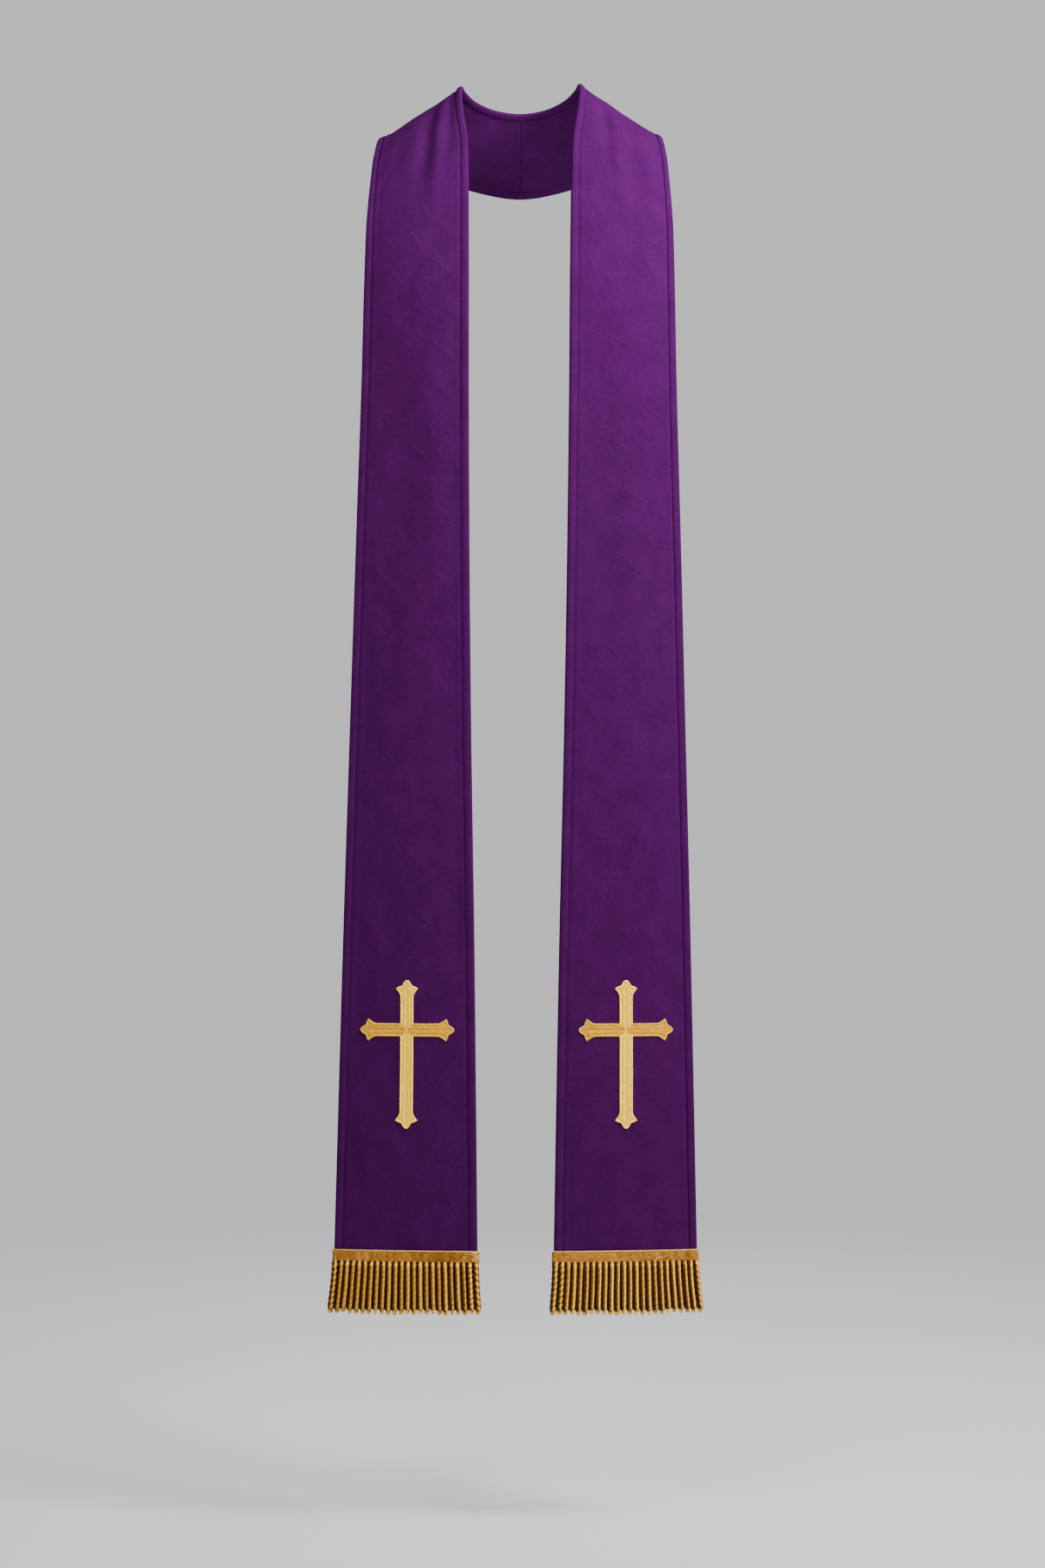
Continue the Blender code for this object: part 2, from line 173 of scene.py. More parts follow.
SECTIONS = (
    Section("centre_back", (0.0, 66.0, -22.0), (0.0, 106.0, -110.0), 4.0),
    Section("nape", (27.0, 60.2, -19.0), (52.0, 99.0, -102.0), 4.0),
    Section("shoulder_blade", (49.0, 44.2, -11.5), (98.0, 79.0, -87.0), 3.5),
    Section("shoulder_back", (62.0, 23.0, -2.5), (134.0, 43.0, -70.0), 2.0),
    Section("shoulder_ridge", (65.2, 3.0, 0.0), (154.5, 4.0, -58.5), -0.4),
    Section("shoulder_front", (65.6, -16.0, -11.0), (160.0, -22.0, -80.0), 2.0),
    Section("collar_side", (63.2, -33.0, -33.5), (162.5, -42.0, -108.0), 4.5),
    Section("collar_base", (58.6, -51.0, -64.0), (164.4, -58.0, -136.0), 6.0),
    Section("collarbone", (56.6, -77.0, -111.0), (166.0, -71.0, -166.0), 7.0),
    Section("upper_chest", (55.8, -101.0, -167.0), (166.8, -82.5, -204.0), 7.0),
    Section("chest", (55.2, -119.0, -230.0), (167.6, -92.0, -250.0), 6.5),
    Section("breast", (54.7, -129.5, -330.0), (169.0, -102.0, -336.0), 6.0),
    Section("waist", (53.6, -134.0, -480.0), (173.1, -109.0, -480.0), 5.5),
    Section("hip", (50.5, -137.5, -720.0), (179.7, -115.5, -720.0), 5.5),
    Section("thigh", (46.3, -142.0, -940.0), (185.6, -121.5, -940.0), 5.0),
    Section("knee", (43.6, -146.5, -1120.0), (189.8, -127.5, -1120.0), 5.0),
    Section("hem", (41.4, -150.5, -1281.5), (193.4, -132.5, -1281.5), 5.0),
    Section("fringe_tip", (40.4, -152.2, -1345.0), (194.8, -134.4, -1345.0), 5.0),
)

FOLDS = {
    Half.LEFT: (
        Fold(130.0, 300.0, 0.20, 0.44, 9.0, -3.0),
        Fold(136.0, 350.0, 0.30, 0.54, 10.0, 2.4),
        Fold(140.0, 330.0, 0.52, 0.66, 12.0, -2.2),
        Fold(150.0, 360.0, 0.76, 0.82, 12.0, 1.4),
        Fold(420.0, 820.0, 0.30, 0.24, 20.0, -1.4),
        Fold(440.0, 900.0, 0.66, 0.56, 24.0, 1.6),
        Fold(900.0, 1250.0, 0.34, 0.40, 26.0, -1.4),
    ),
    Half.RIGHT: (
        Fold(126.0, 290.0, 0.02, 0.27, 9.0, -2.6),
        Fold(130.0, 310.0, 0.26, 0.52, 10.0, -3.2),
        Fold(150.0, 350.0, 0.16, 0.38, 9.0, 2.2),
        Fold(150.0, 380.0, 0.64, 0.76, 14.0, -1.8),
        Fold(330.0, 760.0, 0.30, 0.26, 20.0, 1.6),
        Fold(420.0, 900.0, 0.62, 0.70, 22.0, -1.6),
        Fold(880.0, 1240.0, 0.42, 0.36, 26.0, 1.4),
    ),
}


@dataclass
class Drape:
    """The outer face of the worn cloth, without its small creases.

    The whole stole sways a little to one side as it falls, and the wearer's right shoulder sits lower.
    """

    sway: float = -5.0
    sway_height: float = 1279.0
    sway_limit: float = 1.1
    right_shoulder_drop: float = 2.6
    slope_reach: float = 1.0
    frame_reach: float = 0.5
    frame_share: float = 0.004
    cloth_thick: float = 2.0
    binding_width: float = 7.6
    header_overlap: float = 11.0
    header_height: float = 14.0
    distances: Array = field(init=False)
    rows: dict[str, float] = field(init=False)

    def __post_init__(self) -> None:
        """Work out how far along the cloth each section lies."""
        middle = (self._edge("inner") + self._edge("outer")) / 2
        along = travelled(middle)
        self.distances = along - along[len(SECTIONS) - 1]
        starts = self.distances[len(SECTIONS) - 1 :]
        self.rows = {section.name: float(d) for section, d in zip(SECTIONS, starts)}

    @property
    def hem(self) -> float:
        """Distance along to the cloth's lower end."""
        return self.rows["hem"]

    @property
    def header_top(self) -> float:
        """Distance along to the heading's upper edge."""
        return self.hem - self.header_overlap

    @staticmethod
    def _edge(which: str) -> Array:
        """The sections' points of one edge, mirrored past the centre back so that it is smooth there."""
        half = np.array([getattr(section, which) for section in SECTIONS])
        return np.concatenate([half[:0:-1] * (-1, 1, 1), half])

    def _smooth(self, values: Array, along: Array) -> Array:
        """A cubic through the sections' values, whose slope at each comes from its two neighbours.

        Args:
            values: One row of values for each mirrored section.
            along: Distances along the cloth.

        Returns:
            One row of values for each distance.
        """
        gaps = np.diff(self.distances)[:, None]
        chords = np.diff(values, axis=0) / gaps
        inner = (chords[1:] * gaps[:-1] + chords[:-1] * gaps[1:]) / (gaps[1:] + gaps[:-1])
        slopes = np.concatenate([chords[:1], inner, chords[-1:]])
        cell = np.searchsorted(self.distances, along, side="right") - 1
        cell = np.clip(cell, 0, len(self.distances) - 2)
        width = gaps[cell]
        u = ((along - self.distances[cell])[:, None]) / width
        return (
            values[cell] * (1 + 2 * u) * (1 - u) ** 2
            + values[cell + 1] * u**2 * (3 - 2 * u)
            + slopes[cell] * width * u * (1 - u) ** 2
            + slopes[cell + 1] * width * u**2 * (u - 1)
        )

    def _folds(self, half: Half, along: Array, share: Array, width: Array) -> Array:
        """The height of one half's folds: a bell across the cloth times a squared sine along it, summed.

        Args:
            half: Which half.
            along: Distances along the cloth.
            share: Shares across it.
            width: The cloth's width at each distance.

        Returns:
            The height of the folds at each place.
        """
        total = np.zeros_like(along)
        for fold in FOLDS[half]:
            run = np.clip((along - fold.start) / (fold.end - fold.start), 0.0, 1.0)
            centre = fold.start_share + (fold.end_share - fold.start_share) * run
            across = (share - centre) * width
            total += fold.height * np.sin(math.pi * run) ** 2 * bell(across, 0.0, fold.half_width)
        return total

    def points(self, half: Half, along: Array, share: Array) -> Array:
        """Points of the outer face: the line between both edges, plus a parabolic bow and the folds.

        Args:
            half: Which half.
            along: Distances along the cloth.
            share: Shares across it, the same shape.

        Returns:
            The points, with one more axis than along.
        """
        shape = np.shape(along)
        along, share = np.ravel(along), np.ravel(share)
        edges = self._edge("inner"), self._edge("outer")
        inner, outer = (self._smooth(edge, along) for edge in edges)
        bows = np.array([section.bow for section in SECTIONS])
        bow = self._smooth(np.concatenate([bows[:0:-1], bows])[:, None], along)[:, 0]
        centres = (edges[0] + edges[1]) / 2
        below = self._smooth(centres, along + self.slope_reach)
        down = below - self._smooth(centres, along - self.slope_reach)
        across = outer - inner
        width = np.linalg.norm(across, axis=1)
        rise = 4 * bow * share * (1 - share) + self._folds(half, along, share, width)
        points = inner + across * share[:, None] + unit(np.cross(down, across)) * rise[:, None]
        over = np.clip(along / (2 * self.rows["shoulder_ridge"]), 0.0, 1.0)
        if half is Half.RIGHT:
            points[:, 2] -= self.right_shoulder_drop * np.sin(math.pi * over) ** 2
        points[:, 0] *= half.value
        points[:, 0] += self.sway * np.clip(-points[:, 2] / self.sway_height, 0.0, self.sway_limit)
        return points.reshape(*shape, 3)

    def frame(self, half: Half, along: Array, share: Array) -> tuple[Array, Array, Array]:
        """Points of the outer face, with the directions there from short steps along and across it.

        Args:
            half: Which half.
            along: Distances along the cloth.
            share: Shares across it, the same shape.

        Returns:
            The points, their outward normals, and the directions towards the outer edge.
        """
        reach, part = self.frame_reach, self.frame_share
        point = self.points(half, along, share)
        down = self.points(half, along + reach, share) - self.points(half, along - reach, share)
        across = self.points(half, along, share + part) - self.points(half, along, share - part)
        return point, unit(np.cross(down, across) * half.value), unit(across)

    def width(self, half: Half, along: Array) -> Array:
        """The straight width of the cloth at each distance along it."""
        near, far = (self.points(half, along, np.full_like(along, share)) for share in (0.0, 1.0))
        return np.linalg.norm(far - near, axis=-1)

    def width_at(self, half: Half, along: float) -> float:
        """The straight width of the cloth at one distance along it."""
        return float(self.width(half, np.array([along]))[0])


# ---- creases of the cloth
@dataclass(frozen=True)
class Crease:
    """A small crease: its middle in millimetres along and across, length, slant and height.

    The slant is in degrees below the horizontal, going down towards the wearer's left.
    """

    along: float
    across: float
    length: float
    slant: float
    height: float


HAND_CREASES = {
    Half.RIGHT: (
        (345, 56, 30, 57, 0.60), (346, 21, 40, 49, 0.65), (315, 48, 34, 62, 0.50),
        (358, 42, 58, 92, -0.55), (382, 25, 52, 47, 0.60), (381, 79, 30, 55, 0.50),
        (325, 69, 24, 49, 0.35), (329, 94, 34, 60, 0.40), (375, 67, 18, 65, 0.35),
        (431, 16, 27, 50, 0.60), (467, 26, 52, 42, 0.80), (489, 33, 34, 13, 0.40),
        (472, 57, 17, 65, 0.40), (451, 72, 20, 78, 0.40), (476, 85, 22, 27, 0.40),
        (526, 52, 19, 83, 0.35), (574, 53, 44, 41, 0.75), (564, 83, 16, 22, 0.35),
        (548, 42, 22, 46, 0.45), (611, 75, 26, 71, 0.45), (629, 99, 24, 22, 0.40),
        (637, 28, 27, 37, 0.45), (662, 74, 19, 49, 0.40), (666, 56, 31, 37, 0.45),
        (708, 93, 44, 49, 0.65), (714, 56, 24, 59, 0.50), (708, 32, 25, 46, 0.65),
    ),
    Half.LEFT: (
        (314, 24, 26, 31, 0.65), (278, 84, 16, 41, 0.45), (332, 89, 24, 32, 0.65),
        (353, 26, 15, 30, 0.45), (373, 59, 31, 19, 0.65), (389, 42, 19, 44, 0.40),
        (398, 15, 14, 38, 0.35), (406, 88, 12, 48, 0.35), (457, 57, 28, 27, 0.75),
        (471, 69, 20, 28, 0.60), (487, 39, 19, 44, 0.50), (518, 38, 16, 19, 0.35),
        (521, 95, 13, 50, 0.40), (532, 79, 18, 46, 0.55), (547, 77, 15, 45, 0.55),
        (555, 66, 23, -34, 0.35), (575, 44, 23, 54, 0.55), (601, 87, 25, 34, 0.55),
        (617, 57, 22, 47, 0.60), (659, 55, 26, 52, 0.55), (668, 89, 20, 47, 0.50),
        (693, 66, 37, 48, 0.75),
    ),
}


class Marks(NamedTuple):
    """What creases give to each point of a grid."""

    height: Array
    distance: Array
    strength: Array


@dataclass
class Creases:
    """The relief that the drape leaves out: soft dents, listed creases and a scatter of fine ones.

    A crease is a broad low swelling of the mesh with a thin line along it. The finish draws the line from two
    numbers that the mesh carries: the distance from the crease's middle, and the crease's strength there.
    The fine ones lie in small groups of parallel lines, more of them near the neck than near the hem. They
    leave the smooth neck bare and keep away from the listed ones.
    """

    drape: Drape
    group_count: int = 150
    group_lines: tuple[int, ...] = (1, 1, 2, 2, 3)
    group_gap: Pair = (6.0, 10.0)
    group_slip: float = 12.0
    group_across: Pair = (14.0, 108.0)
    group_crowding: float = 1.15
    contrary_share: float = 0.10
    fine_length: Pair = (10.0, 46.0)
    fine_slant: Pair = (26.0, 62.0)
    slant_spread: float = 6.0
    fine_height: float = 0.44
    height_at_neck: float = 1.15
    height_loss: float = 0.55
    height_share: Pair = (0.3, 1.0)
    smooth_neck: Pair = (250.0, 400.0)
    keep_away: float = 10.0
    inner_share: float = 0.6
    bend: float = 0.05
    waver: float = 0.22
    waver_rate: float = 4.2
    taper_power: float = 0.8
    line_reach: float = 1.7
    swell_height: float = 0.42
    swell_width: float = 2.3
    dent_height: float = 0.75
    dent_cell: float = 30.0
    dent_stretch: float = 2.4
    ripple_height: float = 0.26
    ripple_cell: float = 17.0
    ripple_squeeze: float = 1.3
    edge_calm: float = 9.0
    hem_calm: float = 12.0
    pucker_pitch: float = 4.7
    pucker_height: float = 0.10
    pucker_fade: float = 3.2
    pucker_drift: float = 1.6
    pucker_cell: float = 40.0
    rim_swell: float = 0.45
    rim_place: float = 3.5
    rim_width: float = 2.5
    rim_dip: float = 0.35
    rim_dip_fade: float = 1.2
    seam_dip: float = 0.8
    seam_fade: float = 1.8
    inner_calm: Pair = (6.0, 24.0)
    inner_end_calm: Pair = (12.0, 16.0)
    seed: int = 41

    INNER_SEED = 77
    DENT_SEED = 100
    PUCKER_SEED = 7

    def _scatter(self, half: Half, seed: int) -> list[Crease]:
        """Fine creases in small groups of parallel lines at seeded random places, fainter towards the hem.

        Args:
            half: Which half.
            seed: What to add to the seed, so that each face has creases of its own.

        Returns:
            The creases.
        """
        draw = np.random.default_rng(self.seed + seed + int(half.value))
        made = []
        for along in self.drape.hem * draw.uniform(0.0, 1.0, self.group_count) ** self.group_crowding:
            across = draw.uniform(*self.group_across)
            slant = draw.uniform(*self.fine_slant) * (-1 if draw.uniform() < self.contrary_share else 1)
            angle = math.radians(slant)
            height = self.fine_height * (self.height_at_neck - self.height_loss * along / self.drape.hem)
            height = height * float(smoothstep(along, *self.smooth_neck))
            for line in range(int(draw.choice(self.group_lines))):
                gap = line * draw.uniform(*self.group_gap)
                slip = draw.uniform(-self.group_slip, self.group_slip)
                down = along + gap * math.cos(angle) + slip * math.sin(angle)
                aside = (slip * math.cos(angle) - gap * math.sin(angle)) * half.value
                length, share = draw.uniform(*self.fine_length), draw.uniform(*self.height_share)
                turned = slant + draw.uniform(-self.slant_spread, self.slant_spread)
                made.append(Crease(down, across + aside, length, turned, height * share))
        return made

    def _clear_of(self, placed: Sequence[Crease], scatter: Sequence[Crease]) -> list[Crease]:
        """The scattered creases whose middles keep away from every listed one.

        Args:
            placed: The listed creases.
            scatter: The scattered ones.

        Returns:
            Those of the scatter that stay.
        """
        taken = np.array([(c.along, c.across) for c in placed])
        gaps = [np.hypot(*(taken - (c.along, c.across)).T).min() for c in scatter]
        return [c for c, gap in zip(scatter, gaps) if gap > self.keep_away]

    def _one(self, half: Half, crease: Crease, along: Array, across: Array) -> tuple[Array, Array]:
        """One crease as a line bent by a parabola and wavered by a sine, tapered to nothing at both ends.

        Args:
            half: Which half.
            crease: The crease.
            along: Distances along the cloth.
            across: Distances across it.

        Returns:
            The signed distance of each place from the line, and the taper there.
        """
        angle = math.radians(crease.slant)
        sideways = (across - crease.across) * half.value
        downwards = along - crease.along
        run = (sideways * math.cos(angle) + downwards * math.sin(angle)) / (crease.length / 2)
        off = downwards * math.cos(angle) - sideways * math.sin(angle)
        kind = crease.along + 3 * crease.across
        off = off + self.bend * crease.length * math.sin(kind) * run**2
        off = off + self.waver * np.sin(self.waver_rate * run + kind)
        return off, np.clip(1 - run**2, 0.0, 1.0) ** self.taper_power

    def marks(self, half: Half, creases: Sequence[Crease], along: Array, across: Array, cell: float) -> Marks:
        """What the creases give to each point of a grid.

        Args:
            half: Which half.
            creases: The creases to mark.
            along: Distances along the cloth.
            across: Distances across it.
            cell: The diagonal of the grid's widest cell, so that a line keeps its strength all over its cells.

        Returns:
            The swelling in millimetres, the signed distance from the strongest crease, and its strength.
        """
        reach = self.line_reach * cell
        swell, strength = np.zeros_like(along), np.zeros_like(along)
        distance = np.full_like(along, reach)
        for crease in creases:
            wide = crease.length / 2 + reach
            near = np.nonzero((abs(along - crease.along) < wide) & (abs(across - crease.across) < wide))
            off, taper = self._one(half, crease, along[near], across[near])
            swell[near] += crease.height * taper * bell(off, 0.0, self.swell_width)
            power = abs(crease.height) * taper * smoothstep(np.abs(off), reach, cell)
            won = power > strength[near]
            rows, columns = (places[won] for places in near)
            strength[rows, columns] = power[won]
            distance[rows, columns] = np.clip(off[won] * math.copysign(1.0, crease.height), -reach, reach)
        return Marks(swell * self.swell_height, distance, strength)

    def soft(self, half: Half, along: Array, across: Array) -> Array:
        """The soft dents: two sizes of noise, the larger one drawn out along the cloth.

        Args:
            half: Which half.
            along: Distances along the cloth.
            across: Distances across it.

        Returns:
            The height of the dents.
        """
        seed = self.seed + 10 * int(half.value) + self.DENT_SEED
        wide = soft_noise(along / self.dent_stretch, across, self.dent_cell, seed)
        small = soft_noise(along, across * self.ripple_squeeze, self.ripple_cell, seed + 1)
        return self.dent_height * wide + self.ripple_height * small

    def rim(self, along: Array, inwards: Array) -> Array:
        """The cloth beside a binding and at the seam: puckers as a drifting sine, a swelling and a dip.

        Args:
            along: Distances along the cloth.
            inwards: Distances in from the nearer binding.

        Returns:
            The height to add.
        """
        inside = np.clip(inwards, 0, None)
        drift = self.pucker_drift * line_noise(along, self.pucker_cell, self.seed + self.PUCKER_SEED)
        pull = np.sin(TAU * along / self.pucker_pitch + drift) * np.exp(-inside / self.pucker_fade)
        swell = self.rim_swell * bell(inwards, self.rim_place, self.rim_width)
        swell = swell - self.rim_dip * np.exp(-inside / self.rim_dip_fade)
        seam = -self.seam_dip * np.exp(-along / self.seam_fade)
        return self.pucker_height * pull + swell + seam

    def outer(self, half: Half, along: Array, share: Array, width: Array, cell: float) -> Marks:
        """The outer face's relief, calmed at the bindings, the seam, the hem and the cross.

        Args:
            half: Which half.
            along: Distances along the cloth.
            share: Shares across it.
            width: The cloth's width at each place.
            cell: The diagonal of the grid's widest cell.

        Returns:
            The height in millimetres, with the distance from the strongest crease and its strength.
        """
        across = share * width
        inwards = np.minimum(across, width - across) - self.drape.binding_width
        calm = smoothstep(inwards, 0.0, self.edge_calm) * smoothstep(along, 0.0, self.edge_calm)
        calm = calm * smoothstep(self.drape.header_top - along, 0.0, self.hem_calm)
        placed = [Crease(*row) for row in HAND_CREASES[half]]
        creases = [*placed, *self._clear_of(placed, self._scatter(half, 0))]
        marks = self.marks(half, creases, along, across, cell)
        bare = calm * (1 - Cross.nearness(self.drape, along, share, width))
        height = self.soft(half, along, across) * calm + marks.height * bare + self.rim(along, inwards)
        return Marks(height, marks.distance, marks.strength * bare)

    def inner(self, half: Half, along: Array, share: Array, width: Array, cell: float) -> Marks:
        """The inner face's relief: the same soft dents and a scatter of creases of its own.

        Args:
            half: Which half.
            along: Distances along the cloth.
            share: Shares across it.
            width: The cloth's width at each place.
            cell: The diagonal of the grid's widest cell.

        Returns:
            The height in millimetres, with the distance from the strongest crease and its strength.
        """
        inwards = np.minimum(share, 1 - share) * width
        seam, hem = self.inner_end_calm
        calm = smoothstep(inwards, *self.inner_calm) * smoothstep(along, 0.0, seam)
        calm = calm * smoothstep(self.drape.header_top - along, 0.0, hem)
        marks = self.marks(half, self._scatter(half, self.INNER_SEED), along, share * width, cell)
        height = (self.soft(half, along, share * width) - marks.height) * calm
        return Marks(height, marks.distance, marks.strength * calm * self.inner_share)


# ---- meshes
class Moulder:
    """Gathers grids of points in millimetres into one mesh, with a UV and two shades, tone and turn, at each.

    On the crosses and fringes the shades steer the gold. On the cloth, tone is a crease's strength and turn is
    the signed distance from its line in millimetres.
    """

    def __init__(self) -> None:
        """Start with nothing."""
        self.points: list[Array] = []
        self.uv: list[Array] = []
        self.tones: list[Array] = []
        self.quads: list[Array] = []
        self.triangles: list[Array] = []
        self.count = 0

    def add_points(self, points: Array, uv: Array | float = 0.0, tone: Any = 0.5, turn: Any = 0.0) -> Array:
        """Add points and return their numbers, in the shape of the points without its last axis.

        Args:
            points: Points in millimetres, on any axes plus one of three.
            uv: Pattern coordinates in millimetres, on the same axes plus one of two.
            tone: A shade of the finish from 0 to 1, or a crease's strength on the cloth.
            turn: A second shade, the way the threads lie, or the distance from a crease on the cloth.

        Returns:
            The numbers of the new points.
        """
        shape = points.shape[:-1]
        self.points.append(points.reshape(-1, 3))
        self.uv.append(np.broadcast_to(uv, (*shape, 2)).reshape(-1, 2))
        both = np.stack([np.broadcast_to(tone, shape), np.broadcast_to(turn, shape)], axis=-1)
        self.tones.append(both.reshape(-1, 2))
        ids = self.count + np.arange(int(np.prod(shape))).reshape(shape)
        self.count += ids.size
        return ids

    def shade(self, step: float) -> None:
        """Shift the first tone of every point so far by a step."""
        self.tones = [tones + np.array([step, 0.0]) for tones in self.tones]

    def weave(self, ids: Array, around: bool = False) -> None:
        """Add a quad between each four neighbours on the last two axes.

        Args:
            ids: Numbers of the points, as a grid.
            around: True to close the last axis.
        """
        if around:
            ids = np.concatenate([ids, ids[..., :1]], axis=-1)
        a, b = ids[..., :-1, :-1], ids[..., :-1, 1:]
        c, d = ids[..., 1:, 1:], ids[..., 1:, :-1]
        self.quads.append(np.stack([a, b, c, d], axis=-1).reshape(-1, 4))

    def zip_edges(self, fine: Array, coarse: Array) -> None:
        """Close the gap between a fine row of points and a coarser one with triangles.

        Each fine step meets the coarse point nearest in share, and each change of coarse point is closed
        with one more triangle.

        Args:
            fine: Numbers of the fine row's points.
            coarse: Numbers of the coarser row's points.
        """
        place = np.arange(len(fine)) * (len(coarse) - 1) / (len(fine) - 1)
        nearest = np.round(place).astype(int)
        self.triangles.append(np.stack([fine[:-1], fine[1:], coarse[nearest[:-1]]], axis=-1))
        moved = np.nonzero(nearest[1:] != nearest[:-1])[0]
        corners = [fine[moved + 1], coarse[nearest[moved + 1]], coarse[nearest[moved]]]
        self.triangles.append(np.stack(corners, axis=-1))

    def fan(self, rings: Array, poles: Array) -> None:
        """Close each ring of points with triangles to its pole.

        Args:
            rings: Numbers of the rings' points, on the last axis.
            poles: Number of each ring's pole.
        """
        after = np.roll(rings, -1, axis=-1)
        centre = np.broadcast_to(poles[..., None], rings.shape)
        self.triangles.append(np.stack([rings, after, centre], axis=-1).reshape(-1, 3))

    def tubes(self, rings: Array, uv: Array | float, tone: Any = 0.5, turn: Any = 0.0) -> None:
        """Add tubes from rings of points, with both ends closed by a fan to the middle of the end ring.

        Args:
            rings: Points on the axes tube, ring, side and xyz.
            uv: Pattern coordinates on the same axes, or one for all.
            tone: The first shade, on the same axes.
            turn: The second shade.
        """
        ids = self.add_points(rings, uv, tone, turn)
        self.weave(ids, around=True)
        for end in (0, -1):
            shades = [np.broadcast_to(s, rings.shape[:-1])[:, end, 0] for s in (tone, turn)]
            marks = np.broadcast_to(uv, (*rings.shape[:-1], 2))[:, end, 0]
            poles = self.add_points(rings[:, end].mean(axis=1), marks, *shades)
            self.fan(ids[:, end] if end else ids[:, end, ::-1], poles)

    def mesh(self, name: str) -> bpy.types.Mesh:
        """Make the mesh, with its pattern coordinates and shades, and turn its faces outwards.

        Args:
            name: The mesh's name.

        Returns:
            The mesh.
        """
        quads = np.concatenate([*self.quads, np.zeros((0, 4), int)]).astype(np.int32)
        triangles = np.concatenate([*self.triangles, np.zeros((0, 3), int)]).astype(np.int32)
        corners = np.concatenate([quads.ravel(), triangles.ravel()])
        starts = np.concatenate([np.arange(len(quads)) * 4, len(quads) * 4 + np.arange(len(triangles)) * 3])
        mesh = bpy.data.meshes.new(name)
        mesh.vertices.add(self.count)
        mesh.vertices.foreach_set("co", (np.concatenate(self.points) * MM).astype(np.float32).ravel())
        mesh.loops.add(len(corners))
        mesh.loops.foreach_set("vertex_index", corners)
        mesh.polygons.add(len(starts))
        mesh.polygons.foreach_set("loop_start", starts.astype(np.int32))
        mesh.update(calc_edges=True)
        layer = mesh.uv_layers.new(name=UV_NAME)
        layer.uv.foreach_set("vector", (np.concatenate(self.uv)[corners] * MM).astype(np.float32).ravel())
        for place, label in enumerate(("tone", "turn")):
            shade = mesh.attributes.new(label, "FLOAT", "POINT")
            shade.data.foreach_set("value", np.concatenate(self.tones)[:, place].astype(np.float32))
        mesh.validate()
        sheet = bmesh.new()
        sheet.from_mesh(mesh)
        bmesh.ops.recalc_face_normals(sheet, faces=sheet.faces[:])
        sheet.to_mesh(mesh)
        sheet.free()
        mesh.shade_smooth()
        log.info("%s: %d triangles", name, 2 * len(quads) + len(triangles))
        return mesh

    def piece(self, name: str, finish: Material, slot: str, node: str) -> Object:
        """Make the piece, which rides on the body and replaces a node of the model.

        Args:
            name: The piece's name.
            finish: Its material.
            slot: The name of the record's material slot for it; not used.
            node: The node that it replaces.

        Returns:
            The new object.
        """
        mesh = self.mesh(name)
        mesh.materials.append(finish)
        made = bpy.data.objects.new(name, mesh)
        bpy.context.scene.collection.objects.link(made)
        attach(made, BODY)
        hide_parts(node)
        return made


# ---- finishes
@dataclass(frozen=True)
class Speckle:
    """A noise on the pattern: its cells in millimetres, its detail and roughness, its weight and its shift."""

    across: float
    along: float
    detail: float = 2.0
    roughness: float = 0.5
    weight: float = 0.0
    shift: float = 0.0


def arithmetic(operation: str, swapped: bool = False) -> Callable[..., "Wire"]:
    """An operator of Wire that adds a Math node.

    Args:
        operation: The node's operation.
        swapped: True where the wire is the second of the two values.

    Returns:
        The operator, as a method.
    """

    def method(wire: "Wire", other: Any = 0.0) -> "Wire":
        """The operation on the wire and the other value."""
        first, second = (other, wire) if swapped else (wire, other)
        return wire.book.node("ShaderNodeMath", {"operation": operation}, {0: first, 1: second})

    return method


class Wire:
    """One output of a node, which takes part in plain arithmetic and adds its Math nodes as it does."""

    def __init__(self, book: "NodeBook", socket: bpy.types.NodeSocket) -> None:
        """Wrap a socket of that book's tree."""
        self.book = book
        self.socket = socket

    __add__ = __radd__ = arithmetic("ADD")
    __mul__ = __rmul__ = arithmetic("MULTIPLY")
    __sub__, __rsub__ = arithmetic("SUBTRACT"), arithmetic("SUBTRACT", swapped=True)
    __truediv__, __rtruediv__ = arithmetic("DIVIDE"), arithmetic("DIVIDE", swapped=True)
    __pow__, sine = arithmetic("POWER"), arithmetic("SINE")

    def step(self, low: float, high: float) -> "Wire":
        """A soft step from 0 at low to 1 at high."""
        inputs = {"Value": self, "From Min": low, "From Max": high}
        return self.book.node("ShaderNodeMapRange", {"interpolation_type": "SMOOTHSTEP"}, inputs)


